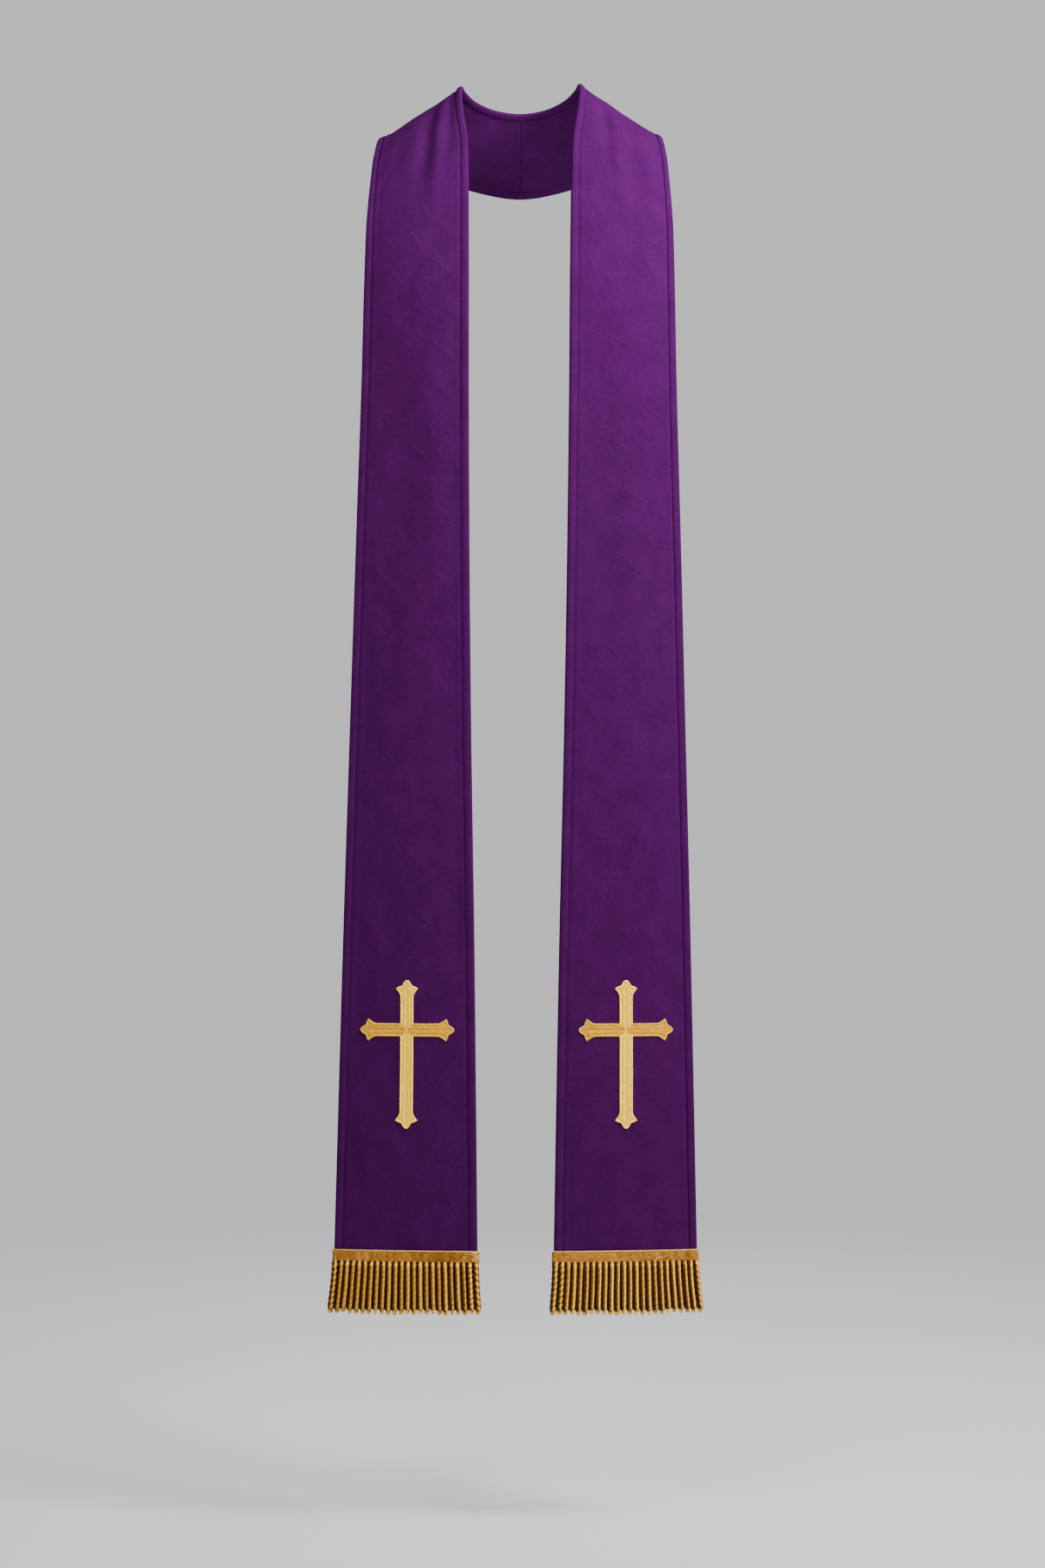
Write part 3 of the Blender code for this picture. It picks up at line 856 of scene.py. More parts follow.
class NodeBook:
    """A material's node tree, written a node at a time."""

    def __init__(self, name: str) -> None:
        """Start a material with one Principled shader."""
        self.material = bpy.data.materials.new(name)
        self.material.use_nodes = True
        self.tree = self.material.node_tree
        self.shader = self.tree.nodes["Principled BSDF"]

    def node(
        self, kind: str, settings: dict | None = None, inputs: dict | None = None, output: Any = 0
    ) -> Wire:
        """Add a node: its settings first, then the values or links of its sockets.

        Args:
            kind: The node's type.
            settings: Properties of the node.
            inputs: Socket name or number to a value or a Wire.
            output: Name or number of the output to return.

        Returns:
            That output.
        """
        made = self.tree.nodes.new(kind)
        for name, value in (settings or {}).items():
            setattr(made, name, value)
        for name, value in (inputs or {}).items():
            self.feed(made.inputs[name], value)
        return Wire(self, made.outputs[output])

    def feed(self, socket: bpy.types.NodeSocket, value: Any) -> None:
        """Give a socket a value or a link.

        Args:
            socket: An input of a node.
            value: A value, or a Wire to link from.
        """
        if isinstance(value, Wire):
            self.tree.links.new(value.socket, socket)
        else:
            socket.default_value = value

    def mix(self, factor: Any, low: Any, high: Any) -> Wire:
        """The colour between low and high."""
        return self.node("ShaderNodeMix", {"data_type": "RGBA"}, {0: factor, 6: low, 7: high}, 2)

    def blend(self, shade: Wire, dark: Colour, middle: Colour, light: Colour) -> Wire:
        """The colour of a shade from 0 to 1: dark to middle over its first half, and on to light."""
        lower = self.mix((shade * 2.0).step(0.0, 1.0), dark, middle)
        return self.mix((shade * 2.0 - 1.0).step(0.0, 1.0), lower, light)

    def tinted(self, colour: Any, tint: Any) -> Wire:
        """A colour times another, through Vector Math."""
        return self.node("ShaderNodeVectorMath", {"operation": "MULTIPLY"}, {0: colour, 1: tint})

    def shade(self, colour: Any, factor: Any) -> Wire:
        """A colour times a grey factor."""
        return self.tinted(colour, self.node("ShaderNodeCombineXYZ", None, {0: factor, 1: factor, 2: factor}))

    def millimetres(self) -> tuple[Wire, Wire]:
        """The piece's own pattern coordinates, across and along, in millimetres."""
        place = self.node("ShaderNodeUVMap", {"uv_map": UV_NAME})
        parts = self.node("ShaderNodeSeparateXYZ", None, {0: place}).socket.node.outputs
        return Wire(self, parts[0]) * (1 / MM), Wire(self, parts[1]) * (1 / MM)

    def attribute(self, name: str) -> Wire:
        """A number stored on the piece's points."""
        return self.node("ShaderNodeAttribute", {"attribute_name": name}, None, "Fac")

    def noise(self, speckle: Speckle, across: Wire, along: Wire) -> Wire:
        """A speckle's noise from 0 to 1.

        Args:
            speckle: Its cells and detail.
            across: First pattern coordinate.
            along: Second pattern coordinate.

        Returns:
            The noise.
        """
        x = across / speckle.across
        if speckle.shift:
            x = x + speckle.shift
        place = self.node("ShaderNodeCombineXYZ", None, {0: x, 1: along / speckle.along, 2: 0.0})
        inputs = {"Vector": place, "Scale": 1.0, "Detail": speckle.detail, "Roughness": speckle.roughness}
        return self.node("ShaderNodeTexNoise", {"noise_dimensions": "2D"}, inputs, "Fac")

    def finish(self, colour: Any, roughness: Any, height: Wire, depth: float, **plain: Any) -> Material:
        """Feed the shader and return the material.

        Args:
            colour: Base colour.
            roughness: Roughness.
            height: Bump height from 0 to 1.
            depth: Metres that a height of 1 stands for.
            plain: Other sockets' values, the same all over, with _ for each space in a name.

        Returns:
            The finished material.
        """
        bump = self.node("ShaderNodeBump", None, {"Height": height, "Distance": depth, "Strength": 1.0})
        self.feed(self.shader.inputs["Base Color"], colour)
        self.feed(self.shader.inputs["Roughness"], roughness)
        self.feed(self.shader.inputs["Normal"], bump)
        for name, value in plain.items():
            self.feed(self.shader.inputs[name.replace("_", " ")], value)
        return self.material


@dataclass(frozen=True)
class PurpleCloth:
    """The stole's cloth: a plain weave, softly mottled, with fine crosswise slubs and a violet sheen.

    The colour is shaded by the sum of four noises about their middles, and by the line of each crease: a ridge
    that falls off as 1 / (1 + d^2)^2, lit on one flank and dark on the other.
    """

    name: str = "purple_cloth"
    colour: Colour = (0.0311, 0.00245, 0.0400, 1.0)
    warm: Colour = (0.0320, 0.00250, 0.0400, 1.0)
    mottle: Speckle = Speckle(6.5, 4.2, 5.0, 0.62, weight=0.50)
    slub: Speckle = Speckle(8.0, 0.8, 2.0, 0.55, weight=0.46)
    broad: Speckle = Speckle(22.0, 30.0, 3.0, 0.55, weight=0.52, shift=3.1)
    grain: Speckle = Speckle(1.5, 1.1, 3.0, 0.6, weight=0.45)
    warmth: Speckle = Speckle(17.0, 13.0, 3.0, 0.6, shift=9.4)
    warm_step: Pair = (0.32, 0.68)
    thread_pitch: float = 0.62
    contrast: float = 0.75
    line_width: float = 0.56
    line_shade: float = 0.46
    line_light: float = 0.21
    line_height: float = 1.9
    slub_height: float = 0.40
    mottle_height: float = 0.30
    grain_height: float = 0.20
    thread_height: float = 0.20
    depth: float = 0.00016
    roughness: float = 0.60
    slub_gloss: float = 0.14
    mottle_matt: float = 0.08
    sheen: float = 0.02
    sheen_roughness: float = 0.45
    gloss: float = 0.0
    tint: Colour = (0.62, 0.22, 0.80, 1.0)

    @classmethod
    def for_bindings(cls) -> "PurpleCloth":
        """The same cloth as the narrow bindings show it, with its mottle and slubs turned and drawn in."""
        mottle = replace(cls.mottle, across=4.0, along=5.5)
        return cls(name="purple_binding", mottle=mottle, slub=replace(cls.slub, across=4.0, along=1.1))

    def make(self) -> Material:
        """Build the material on the piece's own coordinates and on the creases that its mesh carries.

        Returns:
            The material.
        """
        book = NodeBook(self.name)
        across, along = book.millimetres()
        kinds = (self.mottle, self.slub, self.broad, self.grain)
        mottle, slub, _, grain = noises = [book.noise(kind, across, along) for kind in kinds]
        strength, off = book.attribute("tone"), book.attribute("turn") / self.line_width
        ridge = strength / ((off * off + 1.0) ** 2.0)
        shade, *more = [(noise - 0.5) * kind.weight for kind, noise in zip(kinds, noises)]
        light = sum(more, shade) + ridge * self.line_light - off * ridge * self.line_shade
        hue = book.mix(book.noise(self.warmth, across, along).step(*self.warm_step), self.colour, self.warm)
        colour = book.shade(hue, light * self.contrast + 1.0)
        warp, weft = ((way * (TAU / self.thread_pitch)).sine() * 0.5 + 0.5 for way in (across, along))
        height = slub * self.slub_height + mottle * self.mottle_height + grain * self.grain_height
        height = height + warp * weft * self.thread_height + ridge * self.line_height
        roughness = (1 - slub) * self.slub_gloss + self.roughness + mottle * self.mottle_matt
        plain = {"Sheen_Weight": self.sheen, "Sheen_Roughness": self.sheen_roughness, "Sheen_Tint": self.tint}
        plain |= {"Specular_IOR_Level": self.gloss, "Specular_Tint": self.tint}
        return book.finish(colour, roughness, height, self.depth, **plain)


@dataclass(frozen=True)
class GoldEmbroidery:
    """Satin stitch in old-gold rayon: tone runs from the darker filling to the light border, whose lightness
    is a painted highlight.

    Turn is 1 on the side arms, whose threads lie up and down; the turned colour puts their duller sheen into
    the base colour as painted shade. The thread is dimmed where the flecks' noise is low, and takes the glint
    colour, a painted glint, where it is high.
    """

    name: str = "gold_embroidery"
    dark: Colour = (0.30, 0.120, 0.006, 1.0)
    middle: Colour = (1.00, 0.54, 0.010, 1.0)
    light: Colour = (1.00, 0.75, 0.050, 1.0)
    # turned: painted shade, the side arms' duller sheen under the lamps put into the base colour.
    turned: Colour = (0.64, 0.50, 0.400, 1.0)
    tint: Colour = (1.0, 0.78, 0.35, 1.0)
    # glint: a painted glint, mixed into the base colour where the flecks' noise is high.
    glint: Colour = (1.00, 0.84, 0.045, 1.0)
    fleck: Speckle = Speckle(1.9, 1.9)
    fleck_slope: float = 2.9
    fleck_start: float = 0.62
    fleck_depth: float = 0.36
    glint_slope: float = 3.2
    glint_start: float = 0.50
    glint_turned: float = 0.5
    roughness: float = 0.36
    fleck_roughness: float = 0.16
    gloss: float = 0.35
    depth: float = 0.00010

    def make(self) -> Material:
        """Build the material on the tones and the piece's own coordinates.

        Returns:
            The material.
        """
        book = NodeBook(self.name)
        tone, turn = book.attribute("tone"), book.attribute("turn")
        fleck = book.noise(self.fleck, *book.millimetres())
        colour = book.blend(tone, self.dark, self.middle, self.light)
        # Painted shade: the side arms' colour is multiplied by the turned colour.
        colour = book.tinted(colour, book.mix(turn, WHITE, self.turned))
        dim = (fleck * self.fleck_slope - self.fleck_start).step(0.0, 1.0)
        colour = book.shade(colour, dim * self.fleck_depth + (1 - self.fleck_depth))
        # Painted glint: the colour is mixed towards the glint colour where the flecks' noise is high.
        glint = ((fleck - self.glint_start) * self.glint_slope).step(0.0, 1.0)
        colour = book.mix(glint * (1 - turn * self.glint_turned), colour, self.glint)
        plain = {"Specular_IOR_Level": self.gloss, "Specular_Tint": self.tint}
        return book.finish(colour, fleck * self.fleck_roughness + self.roughness, fleck, self.depth, **plain)


@dataclass(frozen=True)
class GoldBullion:
    """Metallic thread wound round a core: fine slanting wraps, darker where tone is low.

    The wraps are a sine of slanting distance, and their crests carry a painted highlight in the colour. Tone
    carries the strands' painted light and shade. Turn is 1 on the woven heading, whose thread is a paler gold.
    """

    name: str = "gold_bullion"
    dark: Colour = (0.015, 0.004, 0.0005, 1.0)
    middle: Colour = (0.42, 0.150, 0.006, 1.0)
    light: Colour = (1.00, 0.67, 0.090, 1.0)
    woven: Colour = (0.88, 0.96, 2.30, 1.0)
    tint: Colour = (1.0, 0.70, 0.30, 1.0)
    fleck: Speckle = Speckle(1.1, 1.1, 3.0, 0.6)
    wrap_pitch: float = 1.35
    wrap_slope: float = 0.70
    # tone_share brings in the strands' painted light, wrap_share a painted highlight on the wraps' crests; the
    # flecks vary at random.
    tone_share: float = 0.78
    wrap_share: float = 0.22
    fleck_share: float = 0.6
    light_and_fleck_start: float = 0.10
    light_and_fleck_end: float = 1.05
    light_and_fleck_power: float = 1.3
    roughness: float = 0.25
    fleck_roughness: float = 0.18
    metallic: float = 0.50
    gloss: float = 0.5
    wrap_height: float = 0.8
    fleck_height: float = 0.2
    depth: float = 0.00020

    def make(self) -> Material:
        """Build the material on the tones and the piece's own coordinates.

        Returns:
            The material.
        """
        book = NodeBook(self.name)
        across, along = book.millimetres()
        wrap = ((across * self.wrap_slope + along) * (TAU / self.wrap_pitch)).sine() * 0.5 + 0.5
        fleck = book.noise(self.fleck, across, along)
        # Painted light: the strands' painted tone and a painted highlight on each wrap's crest, with random
        # flecks.
        painted_light_and_fleck = book.attribute("tone") * self.tone_share + wrap * self.wrap_share
        painted_light_and_fleck = painted_light_and_fleck + (fleck - 0.5) * self.fleck_share - self.light_and_fleck_start
        painted_light_and_fleck = painted_light_and_fleck.step(0.0, self.light_and_fleck_end) ** self.light_and_fleck_power
        tint = book.mix(book.attribute("turn"), WHITE, self.woven)
        colour = book.tinted(book.blend(painted_light_and_fleck, self.dark, self.middle, self.light), tint)
        height = wrap * self.wrap_height + fleck * self.fleck_height
        plain = {"Metallic": self.metallic, "Specular_IOR_Level": self.gloss, "Specular_Tint": self.tint}
        return book.finish(colour, fleck * self.fleck_roughness + self.roughness, height, self.depth, **plain)


# ---- the pieces
@dataclass
class Panel:
    """One half of the stole's cloth, as a closed wall with every crease in its outer face."""

    drape: Drape
    creases: Creases
    half: Half
    step: float = 1.6
    margin_columns: int = 2
    back_rows: int = 480
    back_columns: int = 32
    cut_rows: int = 200

    def shares(self, along: Array, columns: int) -> Array:
        """Shares across each row: the two bindings' margins, and even steps between them.

        Args:
            along: The rows' distances along the cloth.
            columns: Points across, between the bindings.

        Returns:
            One row of shares for each distance.
        """
        rim = self.drape.binding_width / self.drape.width(self.half, along)
        even = rim[:, None] + (1 - 2 * rim[:, None]) * np.linspace(0.0, 1.0, columns)
        margin = rim[:, None] * np.linspace(0.0, 1.0, self.margin_columns, endpoint=False)
        return np.concatenate([margin, even, 1 - margin[:, ::-1]], axis=1)

    def face(self, rows: int, columns: int, outer: bool) -> tuple[Array, Array, Array, Array]:
        """A grid of points on the outer or the inner face of the cloth, with its pattern coordinates.

        Args:
            rows: Points along the cloth.
            columns: Points across, between the bindings.
            outer: True for the outer face.

        Returns:
            The points, their pattern coordinates, and the strength and distance of their creases.
        """
        along = np.linspace(0.0, self.drape.hem, rows)
        width = self.drape.width(self.half, along)
        share = self.shares(along, columns)
        distance = np.broadcast_to(along[:, None], share.shape)
        wide = np.broadcast_to(width[:, None], share.shape)
        point, normal, _ = self.drape.frame(self.half, distance, share)
        cell = math.hypot(along[1], float(width.max()) / columns)
        relief = self.creases.outer if outer else self.creases.inner
        marks = relief(self.half, distance, share, wide, cell)
        lift = marks.height - (0.0 if outer else self.drape.cloth_thick)
        uv = np.stack([share * wide * self.half.value, distance], axis=-1)
        return point + normal * lift[..., None], uv, marks.strength, marks.distance

    def build(self, finish: Material) -> Object:
        """Make the wall: a fine outer face, a plain inner one, and rims zipped between them.

        Args:
            finish: The cloth's material.

        Returns:
            The piece.
        """
        mould = Moulder()
        middle = self.drape.width_at(self.half, self.drape.rows["hip"])
        columns = round((middle - 2 * self.drape.binding_width) / self.step)
        rows = round(self.drape.hem / self.step)
        front = mould.add_points(*self.face(rows, columns, outer=True))
        mould.weave(front)
        back = mould.add_points(*self.face(self.back_rows, self.back_columns, outer=False))
        mould.weave(back[:, ::-1])
        mould.zip_edges(front[0], back[0])
        mould.zip_edges(front[::-1, 0], back[::-1, 0])
        mould.zip_edges(front[-1, ::-1], back[-1, ::-1])
        mould.zip_edges(front[:, -1], back[:, -1])
        return mould.piece(f"cloth_{self.half.label}", finish, "purple_cloth", f"panel_{self.half.label}")

    def declare(self) -> None:
        """Work out the sheet's width at even steps along its length; nothing is stated or kept.
        """
        along = np.linspace(0.0, self.drape.hem, self.cut_rows)
        width = self.drape.width(self.half, along) * MM


@dataclass
class Binding:
    """A narrow self-cloth strip folded over one long edge, in one length from hem to hem.

    Drift, swing and slack are noises along the edge, each with its size and its cell: how far the ripples
    wander, how much their height varies, and how loosely the strip lies.
    """

    drape: Drape
    edge: Edge
    step: float = 1.5
    lip: float = 7.6
    crest: float = 2.4
    clear: float = 0.12
    puff: float = 1.75
    back_puff: float = 0.75
    roll_turn: Pair = (0.06, 0.84)
    roll_points: int = 13
    roll_past: float = 0.2
    edge_reach: float = 1.1
    edge_round: float = 0.75
    edge_top: float = 0.25
    edge_bottom: float = 0.4
    seat: float = 0.4
    seat_reach: float = 0.25
    ripple: float = 0.11
    ripple_pitch: float = 4.7
    edge_ripple: float = 0.04
    drift: Pair = (2.2, 33.0)
    swing: Pair = (0.4, 21.0)
    slack: Pair = (0.16, 26.0)
    loose: Pair = (1.3, 2.3)
    end_gap: float = 0.3
    seed: int = 90

    def profile(self) -> tuple[Array, Array, Array]:
        """The closed section, whose front is half an ellipse that is longer on the inner side.

        Its crest lies near the edge. The strip then turns round the edge, goes back behind the cloth as a
        flatter copy of the front, and comes back round the edge as the face that lies on the cloth.

        Returns:
            The distance in from the edge, the height over the cloth, and the distance round the section.
        """
        back = -self.drape.cloth_thick
        turn = np.linspace(*self.roll_turn, self.roll_points) * math.pi
        aside = np.cos(turn)
        reach = np.where(aside > 0, self.lip - self.crest, self.crest + self.roll_past)
        rise = np.where(aside > 0, np.sin(turn), np.sqrt(1 - aside**4))
        roll = np.stack([self.crest + reach * aside, self.puff * rise], axis=-1)
        round_the_edge = [
            (-self.edge_round, self.edge_top),
            (-self.edge_reach, back / 2),
            (-self.edge_round, back - self.edge_bottom),
        ]
        under = roll[::-2] * (1, -self.back_puff) + (0, back)
        on_the_cloth = [
            (self.lip / 2, back - self.clear),
            (self.seat, back - self.clear),
            (-self.seat_reach, back / 2),
            (self.seat, self.clear),
            (self.lip / 2, self.clear),
        ]
        ring = np.concatenate([roll, round_the_edge, under, on_the_cloth])
        return ring[:, 0], ring[:, 1], travelled(ring)

    def rows(self, half: Half, along: Array) -> Array:
        """Rings of the section along one half, rippled by a sine of uneven pitch on the outside.

        Args:
            half: Which half.
            along: Distances along the cloth.

        Returns:
            The rings, on the axes row, side and xyz.
        """
        inwards, height, _ = self.profile()
        width = self.drape.width(half, along)
        towards = 1.0 if self.edge is Edge.NECK else -1.0
        share = self.edge.value + towards * np.clip(inwards, 0.0, None)[None, :] / width[:, None]
        distance = np.broadcast_to(along[:, None], share.shape)
        point, normal, across = self.drape.frame(half, distance, share)
        seeds = self.seed + int(half.value) + int(10 * self.edge.value) + np.array([0, 5, 9])
        kinds = (self.drift, self.swing, self.slack)
        drift, swing, slack = (size * line_noise(along, cell, int(s)) for (size, cell), s in zip(kinds, seeds))
        wave = np.sin(TAU * along / self.ripple_pitch + drift) * (1 - self.swing[0] + swing)
        level = height + self.drape.cloth_thick / 2
        raised = np.sign(level) * smoothstep(np.abs(level), *self.loose)
        lift = height + raised * (self.ripple * wave + slack)[:, None]
        past = np.clip(inwards, None, 0.0)[None, :] * (1 + self.edge_ripple * wave[:, None])
        return point + normal * lift[..., None] + across * (towards * past)[..., None]

    def build(self, finish: Material) -> Object:
        """Make the strip as one closed tube round the neck.

        Args:
            finish: The strip's material.

        Returns:
            The piece.
        """
        last = self.drape.header_top - self.end_gap
        along = np.linspace(0.0, last, round(last / self.step))
        left, right = self.rows(Half.LEFT, along), self.rows(Half.RIGHT, along)
        rings = np.concatenate([right[:0:-1], (left[:1] + right[:1]) / 2, left[1:]])
        distance = np.concatenate([-along[:0:-1], along])
        round_it = self.profile()[2]
        uv = np.stack(np.broadcast_arrays(round_it[None, :], distance[:, None]), axis=-1)
        mould = Moulder()
        mould.tubes(rings[None], uv[None], tone=0.0)
        label = self.edge.label
        piece = mould.piece(f"edging_{label}", finish, "purple_binding", f"binding_{label}_edge")
        return piece


class Arm(NamedTuple):
    """One arm of a cross: its length from the crossing, and the way it points.

    A place on an arm is a distance out from the crossing and a distance aside from the arm's axis.
    """

    length: float
    x: int
    y: int

    @property
    def turn(self) -> float:
        """1 on the side arms, whose threads lie up and down."""
        return float(abs(self.x))

    def flat(self, out: Array, aside: Array) -> Array:
        """Flat places (right, up) from the crossing."""
        return np.stack([self.x * out + self.y * aside, self.y * out - self.x * aside], axis=-1)


@dataclass(frozen=True)
class Stitch:
    """A kind of stitch: the pitch and radius of its threads, and their tone with its spread."""

    pitch: float
    radius: float
    tone: float
    spread: Pair


@dataclass
class Cross:
    """An embroidered cross: a raised ground, satin-stitched borders, slanting filling and a stitched axis."""

    drape: Drape
    creases: Creases
    half: Half
    bar: float = 14.0
    bud_length: float = 6.0
    bud_bulge: float = 2.16
    bud_end: float = 0.08
    cusp_from_tip: float = 9.4
    cusp_width: float = 23.4
    flare_from_tip: float = 18.5
    horn_curve: float = 2.2
    flare_curve: float = 1.85
    border: float = 2.0
    furrow: float = 0.35
    ground: float = 0.50
    border_rise: float = 0.66
    fill_rise: float = 0.36
    lift: float = 0.10
    skirt: Pair = (-0.01, 0.25)
    least_room: float = 1e-6
    mitre_width: float = 1.2
    mitre_past: float = 1.0
    groove_inset: float = 0.25
    groove_width: float = 0.42
    groove_shade: float = 0.42
    # border_tone is a painted highlight: the raised satin border is coloured lighter than the filling.
    # groove_shade paints shade in a groove just inside the border.
    border_tone: float = 0.85
    fill_tone: float = 0.46
    row_step: float = 0.6
    columns: int = 25
    least_width: float = 0.02
    # The border stitch's lighter tone is the same painted highlight.
    border_stitch: Stitch = Stitch(0.48, 0.24, 0.92, (-0.12, 0.08))
    fill_stitch: Stitch = Stitch(0.66, 0.24, 0.55, (-0.16, 0.14))
    axis_stitch: Stitch = Stitch(1.7, 0.34, 0.14, (-0.08, 0.10))
    border_spread: float = 0.08
    border_over: float = 0.06
    border_lead: float = 0.35
    border_foot: float = 0.45
    proud: float = 0.05
    fill_start: float = 0.9
    fill_aside: float = 0.30
    fill_slant: float = 0.40
    fill_least: float = 0.8
    fill_foot: float = 0.02
    fill_trial: Triple = (0.4, 11.5, 0.2)
    mitre_gap: float = 0.1
    axis_start: float = 2.2
    axis_end: float = 7.0
    axis_aside: float = 0.12
    axis_run: float = 0.62
    axis_rise: float = 0.7
    thread_sides: int = 4
    arch_power: float = 0.7
    # A painted shade: the left half's cross has its tone lowered by this step.
    left_cross_painted_shade: float = 0.07
    seed: int = 300

    CROSSING_Z = -1035.8
    ARMS = (Arm(53.1, 0, 1), Arm(50.9, 1, 0), Arm(105.2, 0, -1), Arm(50.9, -1, 0))
    OUTLINE_POINTS = (160, 60, 50, 60)
    GROUND_ROWS = (20, 14, 14)
    THREAD_STEPS = np.array([0.0, 0.3, 0.7, 1.0])
    THREAD_SWELL = np.array([0.6, 1.0, 1.0, 0.6])
    CALM_BAR = (15.0, 8.0)
    CALM_TOP = (-62.0, -54.0)
    CALM_FOOT = (114.0, 106.0)
    CALM_SIDE = (60.0, 52.0)

    @classmethod
    def nearness(cls, drape: Drape, along: Array, share: Array, width: Array) -> Array:
        """1 under the cross's bars, falling to 0 a little outside them, as soft steps.

        Args:
            drape: The cloth's form.
            along: Distances along the cloth.
            share: Shares across it.
            width: The cloth's width at each place.

        Returns:
            The nearness at each place.
        """
        down, aside = along - cls.crossing(drape), np.abs(share - 0.5) * width
        upright = smoothstep(aside, *cls.CALM_BAR) * smoothstep(down, *cls.CALM_TOP)
        upright = upright * smoothstep(down, *cls.CALM_FOOT)
        beam = smoothstep(np.abs(down), *cls.CALM_BAR) * smoothstep(aside, *cls.CALM_SIDE)
        return np.maximum(upright, beam)

    @classmethod
    def crossing(cls, drape: Drape, levels: int = 200) -> float:
        """Distance along the cloth to the crossing of the bars, which is at a given height.

        Args:
            drape: The cloth's form.
            levels: How many distances to read the height at.

        Returns:
            The distance.
        """
        along = np.linspace(drape.rows["thigh"], drape.hem, levels)
        heights = drape.points(Half.LEFT, along, np.full_like(along, 0.5))[:, 2]
        return float(np.interp(-cls.CROSSING_Z, -heights, along))

    def half_width(self, from_tip: Array) -> Array:
        """Half the arm's width: a parabolic bud, a horn out to the cusp, then a flare into the plain bar.

        Args:
            from_tip: Distances from the arm's tip.

        Returns:
            Half the width at each.
        """
        cusp, bar = self.cusp_width / 2, self.bar / 2
        bud = self.bud_bulge * np.sqrt(np.clip(from_tip, 0.0, self.bud_length))
        neck = self.bud_bulge * math.sqrt(self.bud_length)
        horn = np.clip((from_tip - self.bud_length) / (self.cusp_from_tip - self.bud_length), 0.0, 1.0)
        flare = np.clip((from_tip - self.cusp_from_tip) / (self.flare_from_tip - self.cusp_from_tip), 0.0, 1.0)
        horned = bud + (cusp - neck) * (1 - (1 - horn) ** self.horn_curve)
        flared = bar + (cusp - bar) * (1 - flare) ** self.flare_curve
        return np.where(from_tip < self.cusp_from_tip, horned, flared)

    def steps(self, length: float, counts: Sequence[int]) -> Array:
        """Distances from an arm's tip, in even steps on each stretch, and closer towards the tip on the bud.

        Args:
            length: The arm's length.
            counts: How many fall on its plain bar, its flare, its horns and its bud.

        Returns:
            The distances, from the crossing to the tip.
        """
        ends = (length, self.flare_from_tip, self.cusp_from_tip, self.bud_length)
        even = [np.linspace(*stretch, endpoint=False) for stretch in zip(ends, ends[1:], counts)]
        return np.concatenate([*even, self.bud_length * np.linspace(1.0, self.bud_end, counts[-1]) ** 2])

    def outline(self, length: float) -> Array:
        """One side of an arm as points (out, aside), from the crossing's corner to the tip."""
        from_tip = self.steps(length, self.OUTLINE_POINTS)
        from_tip = from_tip[from_tip <= length - self.bar / 2]
        return np.stack([length - from_tip, self.half_width(from_tip)], axis=-1)

    def from_edge(self, out: Array, aside: Array, outline: Array) -> Array:
        """The distance from each place on an arm to the nearest point of its outline."""
        gap = np.hypot(out[..., None] - outline[:, 0], np.abs(aside)[..., None] - outline[:, 1])
        return gap.min(axis=-1)

    def place(self, flat: Array, rise: Array) -> Array:
        """Points on the cloth for flat places, raised along the cloth's normal.

        Args:
            flat: Places (right, up) from the crossing.
            rise: Height over the cloth of each.

        Returns:
            The points.
        """
        along = self.crossing(self.drape) - flat[..., 1]
        width = self.drape.width(self.half, along.ravel()).reshape(along.shape)
        share = 0.5 + self.half.value * flat[..., 0] / width
        point, normal, _ = self.drape.frame(self.half, along, share)
        soft = self.creases.soft(self.half, along, share * width)
        return point + normal * (soft + rise + self.lift)[..., None]

    def relief(self, out: Array, aside: Array, inside: Array) -> tuple[Array, Array]:
        """Height and tone of the ground: a round border, two pillows and a furrow along the axis.

        Args:
            out: Distance out along the arm.
            aside: Distance from its axis.
            inside: Distance from the outline.

        Returns:
            The height and the tone.
        """
        ring = 1 - ((inside - self.border / 2) / (self.border / 2)) ** 2
        border = self.border_rise * np.sqrt(np.clip(ring, 0.0, 1.0))
        room = np.clip(inside - self.border, 0.0, None)
        share = np.abs(aside) / (np.abs(aside) + room + self.least_room)
        pillow = self.fill_rise * np.sqrt(np.clip(1 - (2 * share - 1) ** 2, 0.0, 1.0))
        mitre = smoothstep(np.abs(out - np.abs(aside)), 0.0, self.mitre_width)
        fill = pillow * np.where(out < self.bar / 2 + self.mitre_past, mitre, 1.0)
        # Painted light: a painted highlight on the border, and painted shade just inside it.
        on_border = inside < self.border
        groove = self.groove_shade * bell(inside - self.border, self.groove_inset, self.groove_width)
        tone = np.where(on_border, self.border_tone, self.fill_tone) - groove
        return (self.ground + np.where(on_border, border, fill)) * smoothstep(inside, *self.skirt), tone

    def ground_mesh(self, mould: Moulder, arm: Arm) -> None:
        """The ground of an arm, mitred at the crossing: a fine grid over a plain one.

        Args:
            mould: Where the grids go.
            arm: The arm.
        """
        bar_rows = round((arm.length - self.flare_from_tip) / self.row_step)
        out = arm.length - self.steps(arm.length, (bar_rows, *self.GROUND_ROWS))
        wide = np.minimum(self.half_width(arm.length - out), np.maximum(out, self.least_width))
        aside = wide[:, None] * np.linspace(-1.0, 1.0, self.columns)
        far = np.broadcast_to(out[:, None], aside.shape)
        rise, tone = self.relief(far, aside, self.from_edge(far, aside, self.outline(arm.length)))
        flat, uv = arm.flat(far, aside), np.stack([aside, far], axis=-1)
        top = mould.add_points(self.place(flat, rise), uv, tone, arm.turn)
        few = slice(None, None, self.columns - 1)
        bottom = mould.add_points(self.place(flat[:, few], 0 * rise[:, few]), uv[:, few])
        mould.weave(top)
        mould.weave(bottom[:, ::-1])
        for column in (0, -1):
            rows = np.stack([bottom[:, column], top[:, column]], axis=1)
            mould.weave(rows if column == 0 else rows[:, ::-1])
        mould.zip_edges(top[0, ::-1], bottom[0, ::-1])
        mould.zip_edges(top[-1], bottom[-1])

